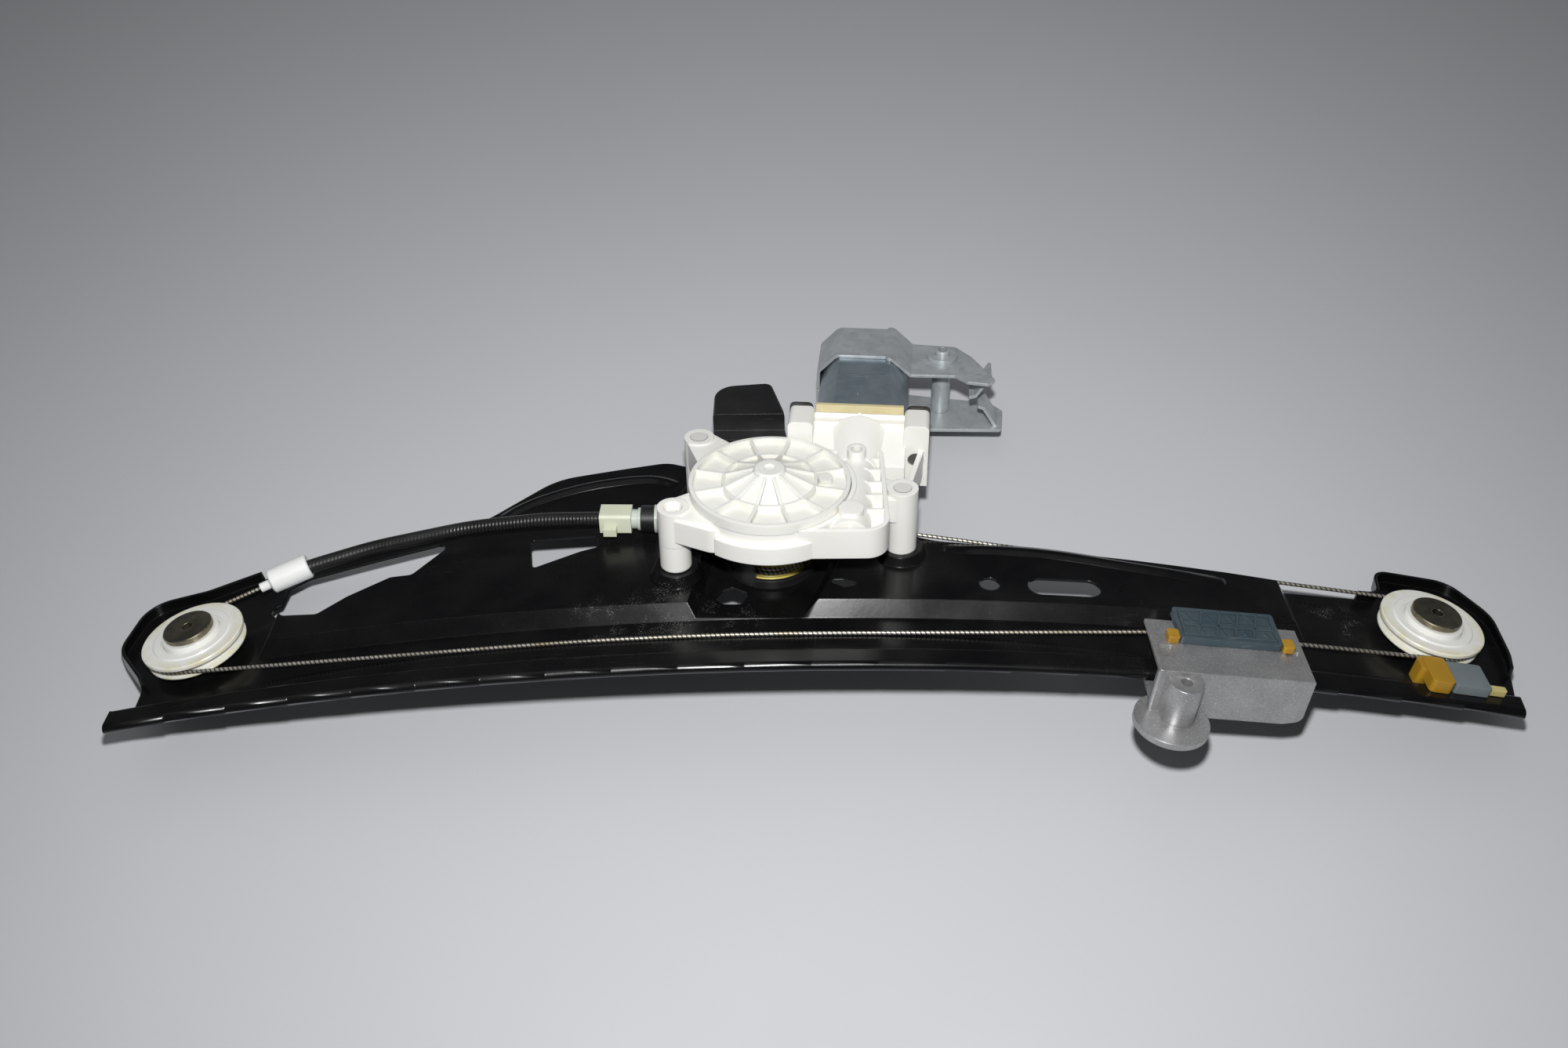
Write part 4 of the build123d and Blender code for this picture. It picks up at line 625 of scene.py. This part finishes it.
# The adjuster's cream housing and milky sleeve
creamLook = {
    "base": (0.74, 0.76, 0.62), "second": (0.66, 0.69, 0.52), "rough": (0.3, 0.45), "glow": 0.3,
    "grimeAndShade": 0.3, "grimeAndShadeColour": (0.2, 0.17, 0.08), "edge": 0.25, "edgeColour": (0.75, 0.76, 0.62),
    "scuff": 0.2, "dust": 0.08,
}
dress(wornMaterial("creamPlastic", creamLook), "adjuster_housing")
sleeveLook = {
    "base": (0.6, 0.64, 0.58), "second": (0.52, 0.56, 0.5), "rough": (0.2, 0.35),
    "glow": 0.3, "grimeAndShade": 0.2, "edge": 0.0, "scuff": 0.1, "dust": 0.03,
}
sleevePlastic = wornMaterial("sleevePlastic", sleeveLook)
dress(sleevePlastic, "adjuster_sleeve")

# The milky sleeve goes on over the socket of the drum housing, as far as the front post
shroudLook = {
    "start": -0.0025, "shoulder": 0.003, "end": 0.0125, "radius": 0.0066, "tip": 0.0061, "wall": 0.0008,
    "steps": 64,
}
sleeveLow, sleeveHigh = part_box("adjuster_sleeve")
sleeveEnd = Vector((sleeveHigh.x, (sleeveLow.y + sleeveHigh.y) / 2, (sleeveLow.z + sleeveHigh.z) / 2))
radius, tip, start, end = (shroudLook[key] for key in ("radius", "tip", "start", "end"))
bm = bmesh.new()
turned(bm, Matrix.Translation(sleeveEnd) @ Matrix.Rotation(math.pi / 2, 4, "Y"), [
    (radius - shroudLook["wall"], start), (radius, start), (radius, shroudLook["shoulder"]), (tip, end),
    (tip - shroudLook["wall"], end)], shroudLook["steps"])
finishPiece("sleeveShroud", bm, sleevePlastic, "carrier")

# Gear case and cover: ivory moulded plastic
ivoryLook = {
    "base": (0.86, 0.855, 0.82), "second": (0.83, 0.82, 0.77), "rough": (0.34, 0.46), "glow": 0.2,
    "glowReach": 0.002, "grimeAndShade": 0.14, "grimeAndShadeColour": (0.55, 0.5, 0.4), "edge": 0.25,
    "edgeColour": (0.9, 0.9, 0.87), "scuff": 0.06, "scuffColour": (0.55, 0.52, 0.45), "dust": 0.03,
    "dustColour": (0.5, 0.47, 0.4), "grain": 0.000012, "grainScale": 700.0, "round": 0.0005,
}
ivoryPlastic = wornMaterial("ivoryPlastic", ivoryLook)
dress(ivoryPlastic, "gear_housing", "mount_bush")
coverLook = dict(ivoryLook)
coverLook.update({
    "base": (0.83, 0.83, 0.79), "second": (0.79, 0.785, 0.73), "glow": 0.3, "round": 0.0004, "grimeAndShade": 0.3,
    "grimeAndShadeColour": (0.6, 0.57, 0.47)})
coverPlastic = wornMaterial("coverPlastic", coverLook)
dress(coverPlastic, "gear_cover")

# The middle of the cover rises to a hub: a cone with twelve ribs from the inner ring to the hub
crownLook = {
    "ribs": 12, "firstRib": math.radians(15), "thick": 0.0013, "ring": 0.0205, "ringTop": 0.0409,
    "hub": 0.0068, "hubTop": 0.0474, "dish": 0.0016, "foot": 0.0385, "edge": 0.0006, "bendShare": 0.7,
    "bendRise": 0.0013, "pit": 0.002, "pitDepth": 0.0009, "tuck": 0.002, "proud": 0.0001,
}
bm = bmesh.new()
hub, ring, edge, pit = (crownLook[key] for key in ("hub", "ring", "edge", "pit"))
hubTop, ringTop, foot, dish = (crownLook[key] for key in ("hubTop", "ringTop", "foot", "dish"))
bend = crownLook["bendShare"] * ring + (1 - crownLook["bendShare"]) * hub
turned(bm, unitFrame, [
    (0.0, foot), (ring, foot), (ring, ringTop - dish),
    (bend, ringTop - dish + crownLook["bendRise"]), (hub + edge, hubTop - dish - edge),
    (hub, hubTop - edge), (hub - edge, hubTop), (pit + edge, hubTop),
    (pit, hubTop - crownLook["pitDepth"]), (0.0, hubTop - crownLook["pitDepth"])])
for rib in range(crownLook["ribs"]):
    turn = Matrix.Rotation(crownLook["firstRib"] + 2 * math.pi * rib / crownLook["ribs"], 4, "Z")
    wedge(bm, unitFrame @ turn, [
        (hub - crownLook["tuck"], foot), (ring, foot), (ring, ringTop + crownLook["proud"]),
        (hub - crownLook["tuck"], hubTop - edge / 2)], crownLook["thick"])
finishPiece("coverCrown", bm, coverPlastic, "carrier")

# Arms from the case to its three posts, as tall as the posts
armLook = {  # each post's place, and where its arm meets the round wall, in degrees
    "frontArm": {"post": (-0.042, -0.0145), "wall": (184, 229), "top": 0.0362},
    "rearArm": {"post": (-0.033, 0.0425), "wall": (112, 152), "top": 0.0362},
    "rightArm": {"post": (0.0585, -0.0015), "wall": (352, 12), "top": 0.0345},
    "foot": 0.0225, "postRadius": 0.0068, "caseRadius": 0.0352, "screwRadius": 0.0046, "steps": 24,
}
for name in ("frontArm", "rearArm", "rightArm"):
    arm = armLook[name]
    postX, postY = arm["post"]
    reach = armLook["caseRadius"]
    outline = [(reach * math.cos(math.radians(a)), reach * math.sin(math.radians(a))) for a in arm["wall"]]
    away = math.atan2(postY, postX)
    steps = armLook["steps"]
    for step in range(steps + 1):  # round the side that faces the case, clear of the screw's hole
        a = away + math.pi / 2 + math.pi * step / steps
        near = armLook["postRadius"] if step in (0, steps) else armLook["screwRadius"]
        outline.append((postX + near * math.cos(a), postY + near * math.sin(a)))
    bm = bmesh.new()
    low, high = (
        [bm.verts.new(unitFrame @ Vector((u, v, level))) for u, v in outline]
        for level in (armLook["foot"], arm["top"]))
    bm.faces.new(low)
    bm.faces.new(list(reversed(high)))
    for i in range(len(outline)):
        j = (i + 1) % len(outline)
        bm.faces.new((low[i], low[j], high[j], high[i]))
    finishPiece(name, bm, ivoryPlastic, "carrier")
print("cover crown and arms made")

# Drum: greasy yellow plastic in a black housing
drumLook = {
    "base": (0.78, 0.68, 0.22), "second": (0.7, 0.58, 0.14), "rough": (0.15, 0.3), "glow": 0.2,
    "grimeAndShade": 0.2, "grimeAndShadeColour": (0.25, 0.18, 0.05), "scuff": 0.1, "dust": 0.0,
}
dress(wornMaterial("drumPlastic", drumLook), "cable_drum")
blackLook = {
    "base": (0.006, 0.006, 0.007), "second": (0.01, 0.01, 0.011), "rough": (0.32, 0.5), "scuff": 0.25,
    "scuffColour": (0.12, 0.11, 0.1), "dust": 0.06, "dustColour": (0.2, 0.19, 0.17), "edge": 0.15,
    "edgeColour": (0.09, 0.09, 0.09), "grain": 0.00003,
}
dress(wornMaterial("blackPlastic", blackLook), "drum_housing", "brush_holder", "electronics_case")

# Motor: bluish can, zinc strap with spangle
canLook = {
    "base": (0.2, 0.25, 0.29), "second": (0.26, 0.31, 0.35), "metal": 0.5, "rough": (0.28, 0.44),
    "scuff": 0.7, "scuffColour": (0.45, 0.48, 0.5), "scuffTurn": 1.2, "dust": 0.12, "edge": 0.3,
    "grain": 0.00002, "driftScale": 110.0,
}
dress(wornMaterial("canSteel", canLook), "motor_can")
spangleLook = {"scale": 260.0, "strength": 0.5, "tint": (0.62, 0.65, 0.66, 1.0)}


def spangle(w, coords, tone):
    picks = w.cells(coords, spangleLook["scale"])
    bright = w.remap(picks[0], 0.0, 1.0, 0.0, spangleLook["strength"])
    return w.mix(bright, tone, spangleLook["tint"])


strapLook = {
    "base": (0.4, 0.43, 0.45), "second": (0.48, 0.51, 0.52), "metal": 0.4, "rough": (0.34, 0.5),
    "extra": spangle, "scuff": 0.5, "scuffColour": (0.6, 0.6, 0.58), "edge": 0.7,
    "edgeColour": (0.68, 0.69, 0.66), "dust": 0.1, "grain": 0.00003, "grainScale": 500.0,
}
dress(wornMaterial("zincSheet", strapLook), "strap_upper", "strap_lower", "bracket_spacer", "bracket_stud")
gasketLook = {
    "base": (0.72, 0.66, 0.44), "second": (0.6, 0.5, 0.26), "rough": (0.4, 0.55), "grimeAndShade": 0.4,
    "scuff": 0.1, "edge": 0.2, "edgeColour": (0.75, 0.66, 0.42), "dust": 0.1,
}
dress(wornMaterial("gasketFoam", gasketLook), "motor_gasket")
rubberLook = {
    "base": (0.015, 0.015, 0.015), "second": (0.03, 0.028, 0.025), "rough": (0.6, 0.8), "dust": 0.3,
    "scuff": 0.2, "grain": 0.00004,
}
dress(wornMaterial("padRubber", rubberLook), "lug_pads", "wheel_damper")

# Slider and stop: bare casting, slate holder, amber nipples and bumper
sparkleLook = {
    "scale": 1900.0, "share": 0.2, "bright": 0.4, "brightTint": (0.75, 0.75, 0.75, 1.0), "dark": 0.3,
    "darkTint": (0.2, 0.2, 0.2, 1.0),
}


def castSparkle(w, coords, tone):  # small bright and dark grains of the casting's skin
    picks = w.cells(coords, sparkleLook["scale"])
    least = 1.0 - sparkleLook["share"]
    bright = w.remap(picks[0], least, 1.0, 0.0, sparkleLook["bright"])
    dark = w.remap(picks[1], least, 1.0, 0.0, sparkleLook["dark"])
    darker = w.mix(dark, tone, sparkleLook["darkTint"])
    return w.mix(bright, darker, sparkleLook["brightTint"])


castLook = {
    "base": (0.36, 0.36, 0.365), "second": (0.44, 0.44, 0.445), "metal": 0.65, "rough": (0.3, 0.44),
    "extra": castSparkle, "driftScale": 80.0,
    "scuff": 0.25, "scuffColour": (0.62, 0.62, 0.61), "scuffTurn": 0.1,
    "grimeAndShade": 0.5, "grimeAndShadeColour": (0.08, 0.07, 0.06), "edge": 0.6, "edgeColour": (0.7, 0.7, 0.69),
    "dust": 0.08, "grain": 0.00006, "grainScale": 420.0, "round": 0.0008,
}
dress(wornMaterial("castAluminium", castLook), "slider_casting")
slateLook = {
    "base": (0.035, 0.06, 0.075), "second": (0.05, 0.075, 0.09), "rough": (0.35, 0.5), "grimeAndShade": 0.4,
    "grimeAndShadeColour": (0.015, 0.015, 0.012), "edge": 0.2, "edgeColour": (0.22, 0.28, 0.32), "scuff": 0.25,
    "dust": 0.1,
}
slatePlastic = wornMaterial("slatePlastic", slateLook)
dress(slatePlastic, "cable_holder")

# Ribs moulded on the holder: three along it and six across, of which the inner four slant
holderRibLook = {
    "along": 0.172, "thick": 0.0009, "rise": 0.0009, "sunk": 0.0006, "inset": 0.0022, "slants": 5,
    "slantShift": 0.0025, "middleShare": 0.42, "topBand": 0.0004,
}
sliderFrame = standing(onRail(holderRibLook["along"], 0.0), holderRibLook["along"] / railShape["radius"])
toSlider = sliderFrame.inverted()
holderSpots = [toSlider @ v.co for v in nodes["cable_holder"].data.vertices]
holderTop = max(v.z for v in holderSpots)
upperSpots = [v for v in holderSpots if v.z > holderTop - holderRibLook["topBand"]]
left, right = min(v.x for v in upperSpots), max(v.x for v in upperSpots)
near, far = min(v.y for v in upperSpots), max(v.y for v in upperSpots)
inset, slants = holderRibLook["inset"], holderRibLook["slants"]
levels = (near + inset, near + holderRibLook["middleShare"] * (far - near), far - inset)
runs = [((left + inset, level), (right - inset, level)) for level in levels]
for i in range(slants + 1):
    x = left + inset + (right - left - 2 * inset) * i / slants
    shift = holderRibLook["slantShift"] if 0 < i < slants else 0.0
    runs.append(((x - shift, near + inset), (x + shift, far - inset)))
sunk, rise = -holderRibLook["sunk"], holderRibLook["rise"]
bm = bmesh.new()
for (xa, ya), (xb, yb) in runs:
    way = Vector((xb - xa, yb - ya, 0.0))
    turn = Matrix.Translation((xa, ya, holderTop)) @ Matrix.Rotation(math.atan2(way.y, way.x), 4, "Z")
    ribSide = [(0.0, sunk), (way.length, sunk), (way.length, rise), (0.0, rise)]
    wedge(bm, sliderFrame @ turn, ribSide, holderRibLook["thick"])
finishPiece("holderRibs", bm, slatePlastic, "slider")
paleSlateLook = dict(slateLook)
paleSlateLook.update({"base": (0.14, 0.17, 0.18), "second": (0.18, 0.21, 0.22)})
dress(wornMaterial("paleSlatePlastic", paleSlateLook), "stop_bracket")
amberLook = {
    "base": (0.46, 0.27, 0.02), "second": (0.36, 0.19, 0.015), "rough": (0.22, 0.36), "glow": 0.35,
    "glowTint": (1.0, 0.5, 0.1), "grimeAndShade": 0.5, "grimeAndShadeColour": (0.1, 0.05, 0.01), "edge": 0.2,
    "edgeColour": (0.8, 0.5, 0.12), "scuff": 0.2, "dust": 0.08,
}
dress(wornMaterial("amberPlastic", amberLook), "stop_bumper", "cable_nipples")
pegLook = dict(amberLook)
pegLook.update({"base": (0.6, 0.52, 0.22), "second": (0.5, 0.42, 0.16)})
dress(wornMaterial("pegPlastic", pegLook), "stop_peg")
shoeLook = dict(blackLook)
shoeLook.update({"base": (0.05, 0.05, 0.05), "second": (0.08, 0.08, 0.08)})
dress(wornMaterial("shoePlastic", shoeLook), "guide_shoes")

# Inner metal
steelLook = {
    "base": (0.4, 0.4, 0.4), "second": (0.5, 0.5, 0.49), "metal": 1.0, "rough": (0.25, 0.42),
    "scuff": 0.4, "dust": 0.03, "edge": 0.3,
}
dress(wornMaterial("plainSteel", steelLook), "gear_pin", "motor_screws", "mounting_screws",
      "tension_spring", "worm_shaft", "armature_core", "drive_plate")
bronzeLook = dict(steelLook)
bronzeLook.update({"base": (0.45, 0.28, 0.12), "second": (0.55, 0.36, 0.18)})
dress(wornMaterial("bearingBronze", bronzeLook), "can_bearing", "worm_bearings", "connector_pins",
      "commutator")
magnetLook = dict(rubberLook)
magnetLook.update({"base": (0.06, 0.06, 0.06), "second": (0.09, 0.09, 0.09)})
dress(wornMaterial("magnetFerrite", magnetLook), "motor_magnets")
wheelLook = dict(pulleyLook)
wheelLook.pop("extra")
dress(wornMaterial("wheelPlastic", wheelLook), "worm_wheel")
print("materials made")


# Floor, darkened by painted shade away from its middle
def paintedFloorFalloff(w, coords, tone):  # painted shade: the floor colour darkens away from the middle of the table, in place of the lamp's falloff
    far = w.remap(w.distance(coords, floorLook["middle"]), *floorLook["fade"])
    return w.mix(far, tone, colour(floorLook["far"]))


floorLook = {
    "base": (0.5, 0.51, 0.53), "second": (0.52, 0.53, 0.55), "rough": (0.5, 0.65),
    # far: the painted shade colour that the floor fades to, over the fade distances from middle
    "far": (0.13, 0.14, 0.15), "middle": (-0.06, -1.12, 0.0), "fade": (0.3, 1.35), "extra": paintedFloorFalloff,
    "size": 8.0, "centre": (0.0, 1.0), "gap": 0.0002,
    "driftScale": 1.6, "roughScale": 6.0, "scuff": 0.0, "edge": 0.0, "grimeAndShade": 0.0, "dust": 0.05,
    "dustColour": (0.2, 0.2, 0.2), "dustScale": 3.0, "grain": 0.000004, "grainScale": 200.0,
}
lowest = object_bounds()[0][2]
place = (*floorLook["centre"], lowest - floorLook["gap"])
bpy.ops.mesh.primitive_plane_add(size=floorLook["size"], location=place)
floor = bpy.context.object
floor.name = "studioFloor"
floor.data.materials.append(wornMaterial("floorPaint", floorLook))

# Light: a small lamp above the camera, a large one overhead
lightLook = {
    "flash": {"place": (-0.085, -0.264, 0.656), "aim": (-0.09, 0.04, 0.0), "size": 0.035, "power": 5.5},
    "overhead": {"place": (-0.3, 0.5, 1.5), "aim": (0.0, 0.1, 0.0), "size": 1.6, "power": 2.5},
}
for name, spec in lightLook.items():
    lamp = bpy.data.lights.new(name, "AREA")
    lamp.shape = "DISK"
    lamp.size = spec["size"]
    lamp.energy = spec["power"]
    holder = bpy.data.objects.new(name, lamp)
    scene.collection.objects.link(holder)
    holder.location = spec["place"]
    aim = Vector(spec["aim"]) - Vector(spec["place"])
    holder.rotation_euler = aim.to_track_quat("-Z", "Y").to_euler()
world = bpy.data.worlds.new("studioWorld")
scene.world = world
world.use_nodes = True
worldLook = {"tint": (0.5, 0.51, 0.53, 1.0), "fill": 0.24, "mirrored": 0.11}  # dimmer where it is mirrored
w = Wiring(world.node_tree)
background = world.node_tree.nodes["Background"]
background.inputs["Color"].default_value = worldLook["tint"]
mirrored = w.add("ShaderNodeLightPath").outputs["Is Glossy Ray"]
w.feed(background.inputs["Strength"], w.remap(mirrored, 0.0, 1.0, worldLook["fill"], worldLook["mirrored"]))
print("stage lit")

# Camera: found from the photograph, in the frame of the part
cameraLook = {
    "place": (-0.08589, -0.34844, 0.60254), "ahead": (-0.006747, 0.53409, -0.84538),
    "right": (0.99993, -0.004477, -0.010809), "lens": 36.117, "sensor": 36.0,
}
ahead = Vector(cameraLook["ahead"]).normalized()
upward = Vector(cameraLook["right"]).cross(ahead).normalized()
right = ahead.cross(upward)
cameraData = bpy.data.cameras.new("photoCamera")
cameraData.lens = cameraLook["lens"]
cameraData.sensor_width = cameraLook["sensor"]
camera = bpy.data.objects.new("photoCamera", cameraData)
scene.collection.objects.link(camera)
cameraAxes = Matrix((right, upward, -ahead)).transposed().to_4x4()
camera.matrix_world = Matrix.Translation(cameraLook["place"]) @ cameraAxes
scene.camera = camera
scene.view_settings.view_transform = "Standard"
print("camera placed")
